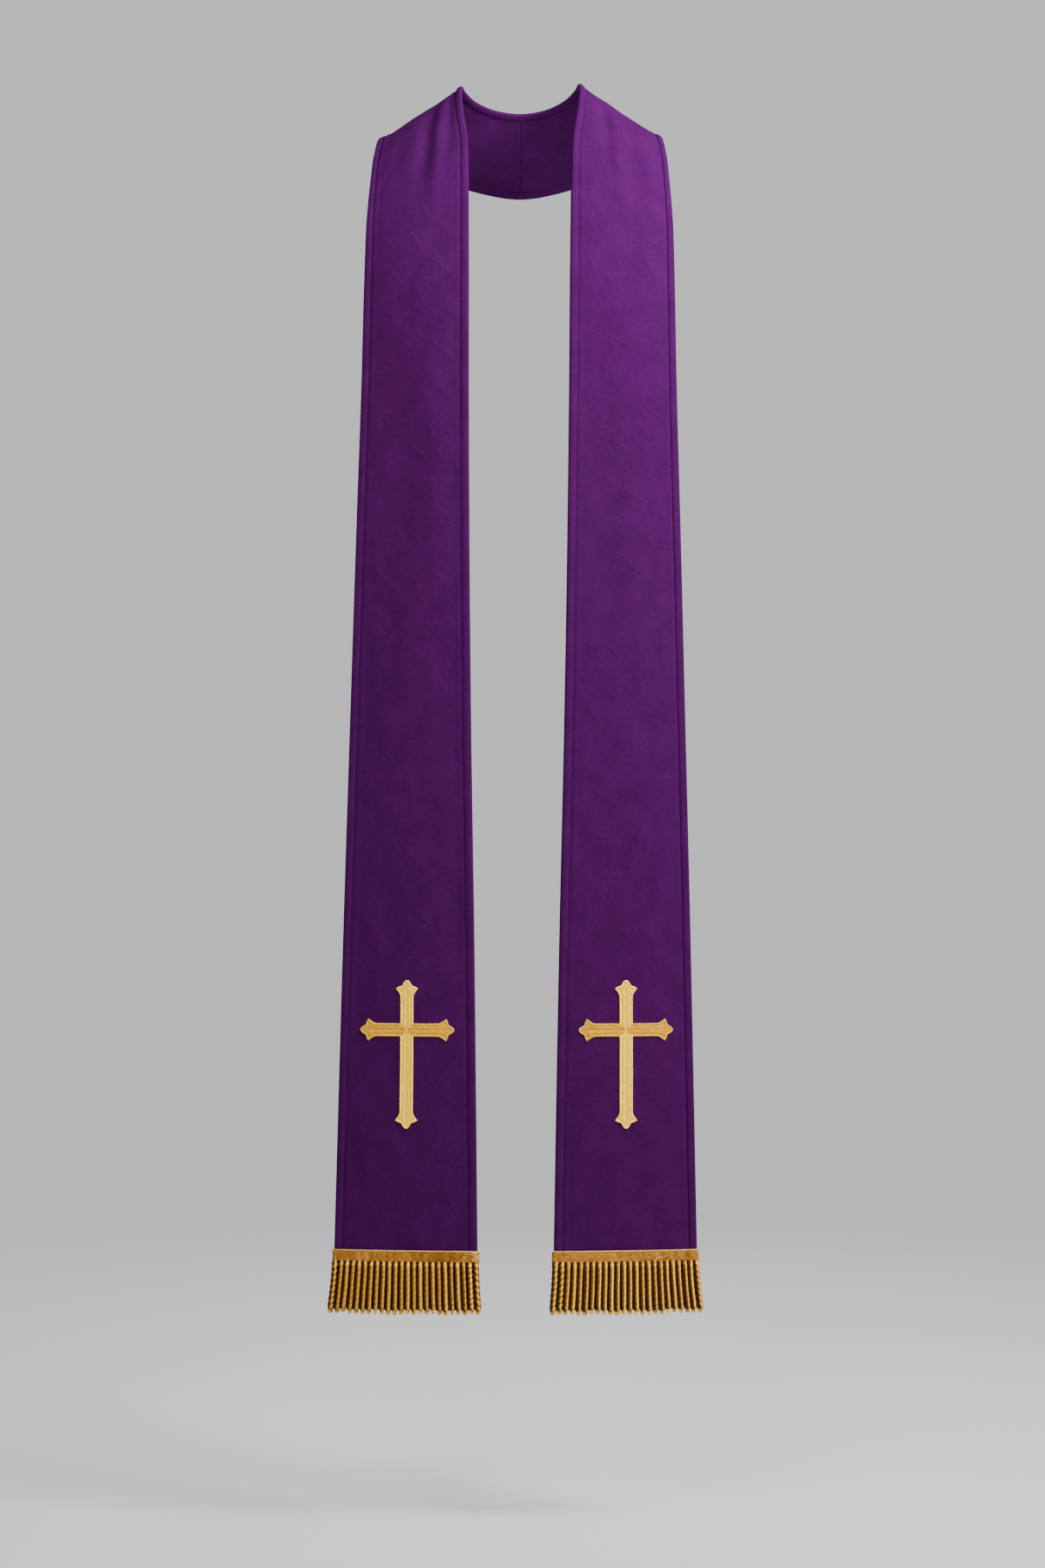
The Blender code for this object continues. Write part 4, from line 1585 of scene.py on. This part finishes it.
    def threads(
        self,
        mould: Moulder,
        arm: Arm,
        stitch: Stitch,
        ends: tuple[Array, Array],
        heights: Pair,
        draw: np.random.Generator,
    ) -> None:
        """Short threads on an arm, each a thin tube that arches over the ground as a power of a sine.

        Args:
            mould: Where the tubes go.
            arm: The arm.
            stitch: The kind of stitch.
            ends: Flat places of the threads' starts and of their ends.
            heights: Height of both ends, and of the middle.
            draw: Where the tones' spread comes from.
        """
        (start, end), (low, high) = ends, heights
        tone = stitch.tone + draw.uniform(*stitch.spread, len(start))
        flat = start[:, None] + (end - start)[:, None] * self.THREAD_STEPS[None, :, None]
        arch = low + (high - low) * np.sin(math.pi * self.THREAD_STEPS) ** self.arch_power
        centre = self.place(flat, np.broadcast_to(arch, flat.shape[:2]))
        ahead = unit(np.gradient(centre, axis=1))
        out = unit(self.place(flat, arch + 1.0) - centre)
        side = unit(np.cross(ahead, out))
        angle = TAU * np.arange(self.thread_sides) / self.thread_sides
        radius = self.THREAD_SWELL[None, :, None, None] * stitch.radius
        rings = centre[:, :, None] + circle(side, out, angle) * radius
        mould.tubes(rings, flat[:, :, None], tone[:, None, None], arm.turn)

    def stitch_border(self, mould: Moulder, arm: Arm, hand: float, draw: np.random.Generator) -> None:
        """The satin stitch across one side's border, square to the outline and led a little towards the tip.

        Args:
            mould: Where the threads go.
            arm: The arm.
            hand: Which side of its axis, 1 or -1.
            draw: Where the spreads come from.
        """
        outline, stitch = self.outline(arm.length), self.border_stitch
        run = travelled(outline)
        at = np.arange(stitch.pitch / 2, run[-1], stitch.pitch)
        rim = np.stack([np.interp(at, run, outline[:, k]) for k in (0, 1)], axis=-1)
        ahead = unit(np.stack([np.interp(at, run, np.gradient(outline[:, k], run)) for k in (0, 1)], axis=-1))
        inward = np.stack([ahead[:, 1], -ahead[:, 0]], axis=-1)
        reach = self.border * (1 + draw.uniform(-self.border_spread, self.border_spread, len(at)))[:, None]
        begin = rim - inward * self.border_over
        finish = rim + inward * reach + ahead * self.border_lead
        start = arm.flat(begin[:, 0], hand * begin[:, 1])
        end = arm.flat(finish[:, 0], hand * np.maximum(finish[:, 1], 0.0))
        heights = self.ground * self.border_foot, self.ground + self.border_rise + self.proud
        self.threads(mould, arm, stitch, (start, end), heights, draw)

    def fill_ends(self, out: Array, outline: Array) -> Array:
        """How far aside each slanting thread of the filling runs before it meets the border.

        Args:
            out: Where each thread starts, out along the arm.
            outline: The arm's outline.

        Returns:
            The distances aside.
        """
        reach = np.arange(*self.fill_trial)
        far = out[:, None] + self.fill_slant * reach[None, :]
        free = self.from_edge(far, np.broadcast_to(reach, far.shape), outline) > self.border + self.furrow
        free &= far > reach[None, :] + self.mitre_gap
        free &= far < outline[-1, 0] - self.border
        open_run = np.cumprod(free, axis=1).sum(axis=1)
        return np.concatenate([[0.0], reach])[open_run]

    def stitch_fill(self, mould: Moulder, arm: Arm, hand: float, draw: np.random.Generator) -> None:
        """The slanting filling on one side of the axis.

        Args:
            mould: Where the threads go.
            arm: The arm.
            hand: Which side of its axis, 1 or -1.
            draw: Where the spread comes from.
        """
        out = np.arange(self.fill_start, arm.length - self.border, self.fill_stitch.pitch)
        reach = self.fill_ends(out, self.outline(arm.length))
        out, reach = out[reach > self.fill_least], reach[reach > self.fill_least]
        start = arm.flat(out, np.full_like(out, hand * self.fill_aside))
        end = arm.flat(out + self.fill_slant * reach, hand * reach)
        heights = self.ground + self.fill_foot, self.ground + self.fill_rise + self.proud
        self.threads(mould, arm, self.fill_stitch, (start, end), heights, draw)

    def stitch_axis(self, mould: Moulder, arm: Arm, draw: np.random.Generator) -> None:
        """The running stitch down the axis.

        Args:
            mould: Where the threads go.
            arm: The arm.
            draw: Where the spread comes from.
        """
        out = np.arange(self.axis_start, arm.length - self.axis_end, self.axis_stitch.pitch)
        aside = np.full_like(out, self.axis_aside)
        ends = arm.flat(out, aside), arm.flat(out + self.axis_run * self.axis_stitch.pitch, -aside)
        heights = self.ground, self.ground + self.fill_rise * self.axis_rise
        self.threads(mould, arm, self.axis_stitch, ends, heights, draw)

    def build(self, finish: Material) -> Object:
        """Make the cross on its panel; the one on the left half is painted a little darker, a painted shade.

        Args:
            finish: The thread's material.

        Returns:
            The piece.
        """
        mould = Moulder()
        for arm in self.ARMS:
            self.ground_mesh(mould, arm)
        for arm in self.ARMS:
            draw = np.random.default_rng(self.seed + 7 * arm.x + 3 * arm.y + int(self.half.value))
            for hand in (-1.0, 1.0):
                self.stitch_border(mould, arm, hand, draw)
                self.stitch_fill(mould, arm, hand, draw)
            self.stitch_axis(mould, arm, draw)
        # Painted shade: the left half's cross is coloured a step darker.
        if self.half is Half.LEFT:
            mould.shade(-self.left_cross_painted_shade)
        label = self.half.label
        return mould.piece(f"embroidery_{label}", finish, "gold_embroidery", f"cross_{label}")


@dataclass
class Fringe:
    """A woven heading with corded edges, and the twisted bullion strands that hang from it.

    On the right half the heading's inner end is folded back. Sizes are in millimetres. A cord's pair is its
    place in from the heading's edge and its height as a share of the thickness. The bead's and the waist's are
    a place below the root and a width.
    """

    drape: Drape
    half: Half
    thick: float = 1.9
    clear: float = 0.15
    wrap: float = 9.0
    weave_step: float = 0.46
    inner_columns: int = 90
    edge_share: float = 0.62
    body_share: float = 0.30
    selvedges: Pair = (1.6, 1.4)
    rib_pitch: float = 1.8
    rib_slope: float = 0.8
    rib_height: float = 0.16
    rib_least: float = 0.35
    lean_sharpness: float = 5.0
    lean_cell: float = 15.0
    wander: float = 1.1
    wander_cell: float = 6.0
    patch_cell: float = 4.5
    patch_stretch: float = 3.0
    speck_cell: float = 1.6
    fold_ends: tuple[Pair, Pair] = ((5.2, 4.4), (-1.0, 0.5))
    fold_height: float = 0.55
    heading_tone: float = 0.63
    # rib_tone paints light on the ribs' crests and shade in their hollows, fold_tone is a painted highlight on
    # the raised fold, and the right half's whole heading carries a painted shade.
    rib_tone: float = 0.11
    patch_tone: float = 0.10
    fold_tone: float = 0.18
    right_half_painted_shade: float = 0.045
    under_tone: float = 0.2
    top_cord: Pair = (0.5, 0.75)
    bottom_cord: Pair = (0.4, 0.62)
    cord_radius: float = 0.95
    cord_lead: float = 4.2
    cord_cell: float = 20.0
    cord_groove: float = 0.26
    # cord_shade is painted shade in the hollows between the cord's lobes.
    cord_shade: float = 0.6
    cord_sides: int = 8
    cord_end: float = 0.6
    strand_count: int = 24
    strand_diameter: float = 4.9
    strand_length: float = 54.0
    strand_root: float = 2.6
    loop_room: float = 4.1
    length_spread: float = 1.1
    outer_splay: float = 4.2
    inner_splay: float = 2.2
    splay_power: float = 1.5
    lean_spread: float = 0.07
    waver: float = 0.08
    waver_turns: float = 1.3
    stagger: Pair = (0.45, -0.25)
    stagger_drop: float = 0.15
    rope_radius: float = 3.76
    rope_lead: float = 12.0
    lead_spread: Pair = (0.9, 1.15)
    rope_groove: float = 0.05
    groove_spread: Pair = (0.6, 1.3)
    end_groove: float = 0.20
    end_swell: float = 0.05
    lobe_power: float = 0.8
    rope_sides: int = 18
    rope_rings: int = 78
    root_pinch: float = 0.10
    root_run: float = 1.5
    bead: Pair = (1.4, 1.2)
    bead_swell: float = 0.05
    waist: Pair = (3.6, 1.1)
    waist_pinch: float = 0.04
    tip_start: float = 0.955
    tip_pinch: float = 0.35
    # The ropes' tone is painted light: the lobe tones give lighter ply crests and painted shade in the
    # grooves, the bead tone a painted highlight on the bead, the flank tone a painted highlight towards +X,
    # and the gap tones painted shade where strands meet.
    rope_tone: float = 0.53
    lobe_tone: float = 0.22
    end_lobe_tone: float = 0.24
    lobe_middle: float = 0.6
    bead_tone: float = 0.28
    tone_spread: float = 0.10
    flank_painted_highlight: float = 0.98
    gap_shade_shift: float = 0.07
    gap_shade_window: Pair = (0.40, 0.66)
    gap_painted_shade: float = 0.95
    loop_radius: float = 1.60
    loop_thick: float = 1.45
    loop_turn: float = 0.35
    loop_drop: float = 0.8
    loop_stretch: float = 1.15
    # The loops are coloured at the ropes' highlight tone, a painted highlight.
    loop_highlight_tone: float = 0.94
    loop_rings: int = 14
    loop_sides: int = 8
    seed: int = 500

    END_STRANDS = (0, 1, -1)
    STRAND_SEED = 20

    @property
    def edge_turn(self) -> float:
        """How far the heading runs as it turns round the cloth's edge."""
        return self.drape.cloth_thick + 2 * self.clear

    def around(self, distance: Array, run: Array, lift: Array, width: float) -> Array:
        """Points at each distance for a run measured round the hem: back, end, front, end, back.

        A run from 0 to the width lies on the front. Past either end it turns round the edge, through the
        thickness of the cloth, and goes on across the back.

        Args:
            distance: Distances along the cloth.
            run: Runs round the hem.
            lift: Height over the cloth.
            width: The cloth's width.

        Returns:
            The points.
        """
        past = np.maximum(np.maximum(-run, run - width), 0.0)
        across_back = np.clip(past - self.edge_turn, 0.0, None)
        share = np.clip(run, 0.0, width) / width
        share = np.where(run < 0, across_back / width, np.where(run > width, 1 - across_back / width, share))
        point, normal, across = self.drape.frame(self.half, distance, share)
        turn = np.clip(past / self.edge_turn, 0.0, 1.0) * math.pi
        outwards = np.sign(run - width / 2) * (past > 0)
        radius = self.edge_turn / 2 + lift
        height = radius * np.cos(turn) - self.drape.cloth_thick / 2
        return point + normal * height[..., None] + across * (outwards * radius * np.sin(turn))[..., None]

    def heading(self, mould: Moulder) -> None:
        """The woven band: slanting ribs whose direction changes along it, over a plain inner face.

        Args:
            mould: Where the band goes.
        """
        top, bottom = self.drape.header_top, self.drape.header_top + self.drape.header_height
        width = self.drape.width_at(self.half, top)
        reach = self.edge_turn + self.wrap
        run = np.linspace(-reach, width + reach, round((width + 2 * reach) / self.weave_step))
        down = np.linspace(top, bottom, round((bottom - top) / self.weave_step))
        runs, downs = np.meshgrid(run, down)
        seed = self.seed + int(self.half.value)
        lean = np.tanh(self.lean_sharpness * line_noise(runs, self.lean_cell, seed))
        wander = self.wander * soft_noise(runs, downs, self.wander_cell, seed + 1)
        rib = np.sin(TAU * (runs * self.rib_slope + lean * (downs - top) + wander) / self.rib_pitch)
        upper, lower = self.selvedges
        body = smoothstep(downs - top, 0.0, upper) * smoothstep(bottom - downs, 0.0, lower)
        folded = float(self.half is Half.RIGHT)
        fold = folded * smoothstep(runs, *self.fold_ends[0]) * smoothstep(runs, *self.fold_ends[1])
        lift = self.thick * (self.edge_share + self.body_share * body) + self.fold_height * fold
        lift = lift + self.rib_height * rib * (self.rib_least + (1 - self.rib_least) * body)
        patch = soft_noise(runs, downs / self.patch_stretch, self.patch_cell, seed + 5)
        patch = patch + soft_noise(runs, downs, self.speck_cell, seed + 2)
        # Painted light: lighter rib crests and darker rib hollows, a painted highlight on the fold, and
        # painted shade over the right half's whole heading; the patches vary at random.
        tone = self.heading_tone - self.right_half_painted_shade * folded + self.fold_tone * fold
        tone = tone + self.rib_tone * rib + self.patch_tone * patch
        points, uv = self.around(downs, runs, lift, width), np.stack([runs, downs], axis=-1)
        front = mould.add_points(points, uv, tone, 1.0)
        mould.weave(front)
        runs, downs = np.meshgrid(np.linspace(run[0], run[-1], self.inner_columns), down[:: len(down) - 1])
        under = self.around(downs, runs, 0 * runs, width)
        inner = mould.add_points(under, np.stack([runs, downs], axis=-1), self.under_tone, 1.0)
        mould.weave(inner[:, ::-1])
        mould.zip_edges(front[0, ::-1], inner[0, ::-1])
        mould.zip_edges(front[-1], inner[-1])
        mould.zip_edges(front[:, 0], inner[:, 0])
        mould.zip_edges(front[::-1, -1], inner[::-1, -1])
        (top_in, top_height), (bottom_in, bottom_height) = self.top_cord, self.bottom_cord
        self.edge_cord(mould, top + top_in, run, width, self.thick * top_height, seed + 3)
        self.edge_cord(mould, bottom - bottom_in, run, width, self.thick * bottom_height, seed + 4)

    def edge_cord(
        self, mould: Moulder, distance: float, run: Array, width: float, lift: float, seed: int
    ) -> None:
        """A thin two-ply cord along an edge of the heading: a round section with two turning lobes.

        Args:
            mould: Where the cord goes.
            distance: Its distance along the cloth.
            run: The heading's run, from end to end.
            width: The cloth's width.
            lift: The height of its middle over the cloth.
            seed: Seed of its twist's unevenness.
        """
        fine = np.linspace(run[0] + self.cord_end, run[-1] - self.cord_end, 2 * len(run))
        down = np.full_like(fine, distance)
        centre = self.around(down, fine, np.full_like(fine, lift), width)
        out = unit(self.around(down, fine, np.full_like(fine, lift + 1.0), width) - centre)
        side = np.cross(unit(np.gradient(centre, axis=0)), out)
        angle = TAU * np.arange(self.cord_sides) / self.cord_sides
        phase = TAU * fine / self.cord_lead + line_noise(fine, self.cord_cell, seed)
        hollow = 1 - np.abs(np.cos(angle[None, :] - phase[:, None]))
        radius = self.cord_radius * (1 - self.cord_groove * hollow)
        rings = centre[:, None] + circle(side, out, angle) * radius[..., None]
        uv = np.stack(np.broadcast_arrays(angle[None, :], fine[:, None]), axis=-1)
        # Painted shade: the cord's tone falls in the hollows between its lobes.
        mould.tubes(rings[None], uv[None], tone=(1 - self.cord_shade * hollow)[None], turn=1.0)

    def courses(self, draw: np.random.Generator) -> tuple[Array, Array, Array, Array, Array]:
        """The lines that the strands hang along: splayed, a little uneven, and staggered in depth.

        Args:
            draw: Where their spreads come from.

        Returns:
            The points, each strand's directions outwards and across, the share of its length at each point,
            and the distance fallen there.
        """
        each = (self.strand_count, 1)
        top = self.drape.header_top + self.drape.header_height - self.strand_root
        width = self.drape.width_at(self.half, top)
        edge = (self.strand_diameter / 2 - self.clear - self.thick / 2) / width
        share = np.linspace(edge, 1 - edge, self.strand_count)[:, None]
        drop = np.linspace(0.0, 1.0, self.rope_rings)[None, :]
        spread = draw.uniform(-self.length_spread, self.length_spread, each)
        fall = drop * (self.strand_length + self.strand_root - self.loop_room + spread)
        splay = np.where(share > 0.5, self.outer_splay, self.inner_splay) * (share - 0.5) * 2
        lean = splay * drop**self.splay_power
        lean = lean + draw.uniform(-self.lean_spread, self.lean_spread, each) * drop**2
        waver = self.waver * np.sin(TAU * (self.waver_turns * drop + draw.uniform(0, 1, each)))
        point, normal, across = self.drape.frame(self.half, top + fall, np.broadcast_to(share, fall.shape))
        normal, across = normal[:, :1], across[:, :1]
        stagger = np.where(np.arange(self.strand_count) % 2, *self.stagger)[:, None]
        depth = self.clear + self.thick / 2 + stagger * smoothstep(drop, 0.0, self.stagger_drop) + waver / 2
        centre = point + normal * depth[..., None] + across * (lean + waver)[..., None]
        return centre, normal, across, drop, fall

    def strands(self, mould: Moulder) -> None:
        """The bullion: two-lobed ropes that turn as they fall, each ending in a small loop.

        The rope's radius is pinched at the root and at the tip, with a bead and a waist below the root. Its
        tone carries painted light: a painted highlight on the flank towards +X, where the key and side lamps
        stand, painted shade at both sides where it meets its neighbours, lighter ply crests over darker
        grooves, and a painted highlight on the bead. The end strands are more deeply grooved, and one of them
        turns the other way.

        Args:
            mould: Where the ropes go.
        """
        draw = np.random.default_rng(self.seed + self.STRAND_SEED + int(self.half.value))
        centre, normal, across, drop, fall = self.courses(draw)
        each = (self.strand_count, 1)
        start = draw.uniform(0.0, TAU, each)
        lead = self.rope_lead * draw.uniform(*self.lead_spread, each)
        hand = np.full(each, self.half.value)
        hand[-1 if self.half is Half.LEFT else 0] *= -1
        phase = start + hand * TAU * fall / lead
        angle = TAU * np.arange(self.rope_sides) / self.rope_sides
        lobes = np.abs(np.cos(angle - phase[..., None])) ** self.lobe_power
        below = fall - self.strand_root
        bead = bell(below, *self.bead)
        swell = 1 - self.root_pinch * smoothstep(below, 0.0, -self.root_run)
        swell = swell + self.bead_swell * bead - self.waist_pinch * bell(below, *self.waist)
        swell = swell * (1 - self.tip_pinch * smoothstep(drop, self.tip_start, 1.0) ** 2)
        ridged = np.zeros((*each, 1))
        ridged[list(self.END_STRANDS)] = 1.0
        groove = self.rope_groove * draw.uniform(*self.groove_spread, (*each, 1))
        groove = groove + (self.end_groove - groove) * ridged
        radius = self.rope_radius * (1 + self.end_swell * ridged) * swell[..., None]
        radius = radius * (1 - groove * (1 - lobes))
        rings = centre[:, :, None] + circle(across, normal, angle) * radius[..., None]
        shade = draw.uniform(-self.tone_spread, self.tone_spread, (*each, 1))
        # Painted light: a painted highlight on the +X flank, painted shade at both sides between neighbours,
        # lighter ply crests over painted shade in the grooves, and a painted highlight on the bead.
        rightwards = np.cos(angle) * self.half.value
        gap_shade = smoothstep(np.abs(rightwards - self.gap_shade_shift), *self.gap_shade_window)
        tone = self.rope_tone + (self.lobe_tone + self.end_lobe_tone * ridged) * (lobes - self.lobe_middle)
        tone = tone + self.flank_painted_highlight * rightwards - self.gap_painted_shade * gap_shade
        tone = tone + self.bead_tone * bead[..., None] + shade
        around = angle * self.rope_radius * hand[..., None] + start[..., None]
        uv = np.stack(np.broadcast_arrays(around, fall[..., None]), axis=-1)
        mould.tubes(rings, uv, tone=np.clip(tone, 0.0, 1.0))
        self.loops(mould, centre[:, -1], normal[:, 0], across[:, 0], phase[:, -1], shade[:, 0, 0])

    def loops(
        self, mould: Moulder, ends: Array, normal: Array, across: Array, phase: Array, shade: Array
    ) -> None:
        """The turned ends: a thread ring under each rope, turned with the rope's lobes.

        Args:
            mould: Where the rings go.
            ends: The ropes' ends.
            normal: The ropes' directions outwards.
            across: Their directions across the cloth.
            phase: How far each rope has turned at its end.
            shade: What each rope's tone is shifted by.
        """
        turned = phase * self.loop_turn
        flat = across * np.cos(turned)[:, None] + normal * np.sin(turned)[:, None]
        down = np.broadcast_to(np.array([0.0, 0.0, -1.0]), flat.shape)
        angle = TAU * np.arange(self.loop_rings) / self.loop_rings
        turn = TAU * np.arange(self.loop_sides) / self.loop_sides
        away = circle(flat, down * self.loop_stretch, angle)
        centre = (ends + down * self.loop_drop)[:, None] + away * self.loop_radius
        ring = circle(unit(away), unit(np.cross(flat, down))[:, None], turn)
        uv = np.stack(np.broadcast_arrays(turn[None, None, :], 2 * angle[None, :, None]), axis=-1)
        # Painted highlight: each loop is coloured near the light end of the gold.
        tone = self.loop_highlight_tone + shade[:, None, None]
        ids = mould.add_points(centre[:, :, None] + ring * self.loop_thick, uv, tone)
        mould.weave(np.concatenate([ids, ids[:, :1]], axis=1), around=True)

    def build(self, finish: Material) -> Object:
        """Make the heading and its strands as one piece.

        Args:
            finish: The bullion's material.

        Returns:
            The piece.
        """
        mould = Moulder()
        self.heading(mould)
        self.strands(mould)
        return mould.piece(f"bullion_{self.half.label}", finish, "gold_bullion", f"fringe_{self.half.label}")


# ---- the studio
class Lamp(NamedTuple):
    """A square area light: its name, place, size in metres and power in watts."""

    name: str
    place: Triple
    size: float
    power: float


@dataclass
class Studio:
    """A pale floor, soft lights and a level camera in front of the stole, in metres."""

    floor_z: float = -1.56
    floor_rings: tuple[float, ...] = (0.5, 1.5, 3.0, 5.0, 9.0)
    floor_sides: int = 48
    floor_colour: Colour = (0.46, 0.46, 0.46, 1.0)
    floor_roughness: float = 0.9
    floor_fade: Pair = (0.7, 3.2)
    camera_place: Triple = (0.0024, -4.09, -0.7733)
    lens: float = 85.0
    sensor: float = 36.0
    clip: Pair = (0.1, 100.0)
    pale: Colour = (0.68, 0.68, 0.69, 1.0)
    ambient: float = 0.20
    aim: Triple = (0.0, -0.05, -0.45)

    LAMPS = (
        Lamp("key", (1.07, -0.68, 0.70), 0.7, 106.0),
        Lamp("fill", (-0.45, -1.65, 0.25), 0.9, 50.0),
        Lamp("side", (1.90, -0.50, -0.95), 0.9, 34.0),
        Lamp("back", (0.3, 2.6, 0.3), 2.4, 150.0),
    )

    def camera(self) -> None:
        """A level camera that looks along +Y."""
        data = bpy.data.cameras.new("camera")
        data.lens, data.sensor_width = self.lens, self.sensor
        data.clip_start, data.clip_end = self.clip
        made = bpy.data.objects.new("camera", data)
        made.location = self.camera_place
        made.rotation_euler = (math.pi / 2, 0.0, 0.0)
        bpy.context.scene.collection.objects.link(made)
        bpy.context.scene.camera = made

    def lamps(self) -> None:
        """Square area lights that face the stole."""
        for lamp in self.LAMPS:
            data = bpy.data.lights.new(lamp.name, "AREA")
            data.size, data.energy = lamp.size, lamp.power
            made = bpy.data.objects.new(lamp.name, data)
            made.location = lamp.place
            right, ahead, up = np.array(self.aim) - np.array(lamp.place)
            tilt, heading = math.atan2(math.hypot(right, ahead), -up), math.atan2(ahead, right)
            made.rotation_euler = (tilt, 0.0, heading - math.pi / 2)
            bpy.context.scene.collection.objects.link(made)

    def world(self) -> None:
        """A pale world, whose light is weaker than it looks to the camera."""
        world = bpy.data.worlds.new("studio")
        bpy.context.scene.world = world
        world.use_nodes = True
        nodes, links = world.node_tree.nodes, world.node_tree.links
        light, seen = nodes["Background"], nodes.new("ShaderNodeBackground")
        light.inputs["Color"].default_value = seen.inputs["Color"].default_value = self.pale
        light.inputs["Strength"].default_value = self.ambient
        both, path = nodes.new("ShaderNodeMixShader"), nodes.new("ShaderNodeLightPath")
        links.new(path.outputs["Is Camera Ray"], both.inputs[0])
        links.new(light.outputs[0], both.inputs[1])
        links.new(seen.outputs[0], both.inputs[2])
        links.new(both.outputs[0], nodes["World Output"].inputs["Surface"])

    def floor_finish(self) -> Material:
        """A grey floor that fades with distance into the pale world.

        Returns:
            The material.
        """
        book = NodeBook("pale_floor")
        place = book.node("ShaderNodeTexCoord", None, None, "Object")
        far = book.node("ShaderNodeVectorMath", {"operation": "LENGTH"}, {0: place}, "Value")
        book.feed(book.shader.inputs["Base Color"], self.floor_colour)
        book.feed(book.shader.inputs["Roughness"], self.floor_roughness)
        glow = book.node("ShaderNodeEmission", None, {"Color": self.pale, "Strength": 1.0})
        fade, near = far.step(*self.floor_fade), Wire(book, book.shader.outputs[0])
        both = book.node("ShaderNodeMixShader", None, {0: fade, 1: near, 2: glow})
        book.feed(book.tree.nodes["Material Output"].inputs["Surface"], both)
        return book.material

    def floor(self) -> None:
        """A round floor: rings of quads round a fan."""
        angle = TAU * np.arange(self.floor_sides) / self.floor_sides
        right, ahead, up = np.eye(3)
        rings = np.array(self.floor_rings)[:, None, None] * circle(right, ahead, angle) + up * self.floor_z
        ids = 1 + np.arange(rings[..., 0].size).reshape(rings.shape[:-1])
        after = np.roll(ids, -1, axis=1)
        quads = np.stack([ids[:-1], ids[1:], after[1:], after[:-1]], axis=-1).reshape(-1, 4)
        fans = np.stack([np.zeros_like(ids[0]), ids[0], after[0]], axis=-1)
        points = np.concatenate([[up * self.floor_z], rings.reshape(-1, 3)])
        mesh = bpy.data.meshes.new("floor")
        mesh.from_pydata(points.tolist(), [], quads.tolist() + fans.tolist())
        mesh.materials.append(self.floor_finish())
        made = bpy.data.objects.new("floor", mesh)
        bpy.context.scene.collection.objects.link(made)

    def build(self) -> None:
        """Set up the camera, the lights, the world and the floor."""
        for part in (self.camera, self.lamps, self.world, self.floor):
            part()


def main() -> None:
    """Build the studio and every piece."""
    logging.basicConfig(level=logging.INFO, format="%(name)s: %(message)s")
    Studio().build()
    drape = Drape()
    creases = Creases(drape)
    cloth = PurpleCloth().make()
    edging = PurpleCloth.for_bindings().make()
    embroidery = GoldEmbroidery().make()
    bullion = GoldBullion().make()
    for edge in Edge:
        Binding(drape, edge).build(edging)
    for half in Half:
        panel = Panel(drape, creases, half)
        piece = panel.build(cloth)
        trims = [Cross(drape, creases, half).build(embroidery), Fringe(drape, half).build(bullion)]
        panel.declare()


if __name__ == "__main__":
    main()
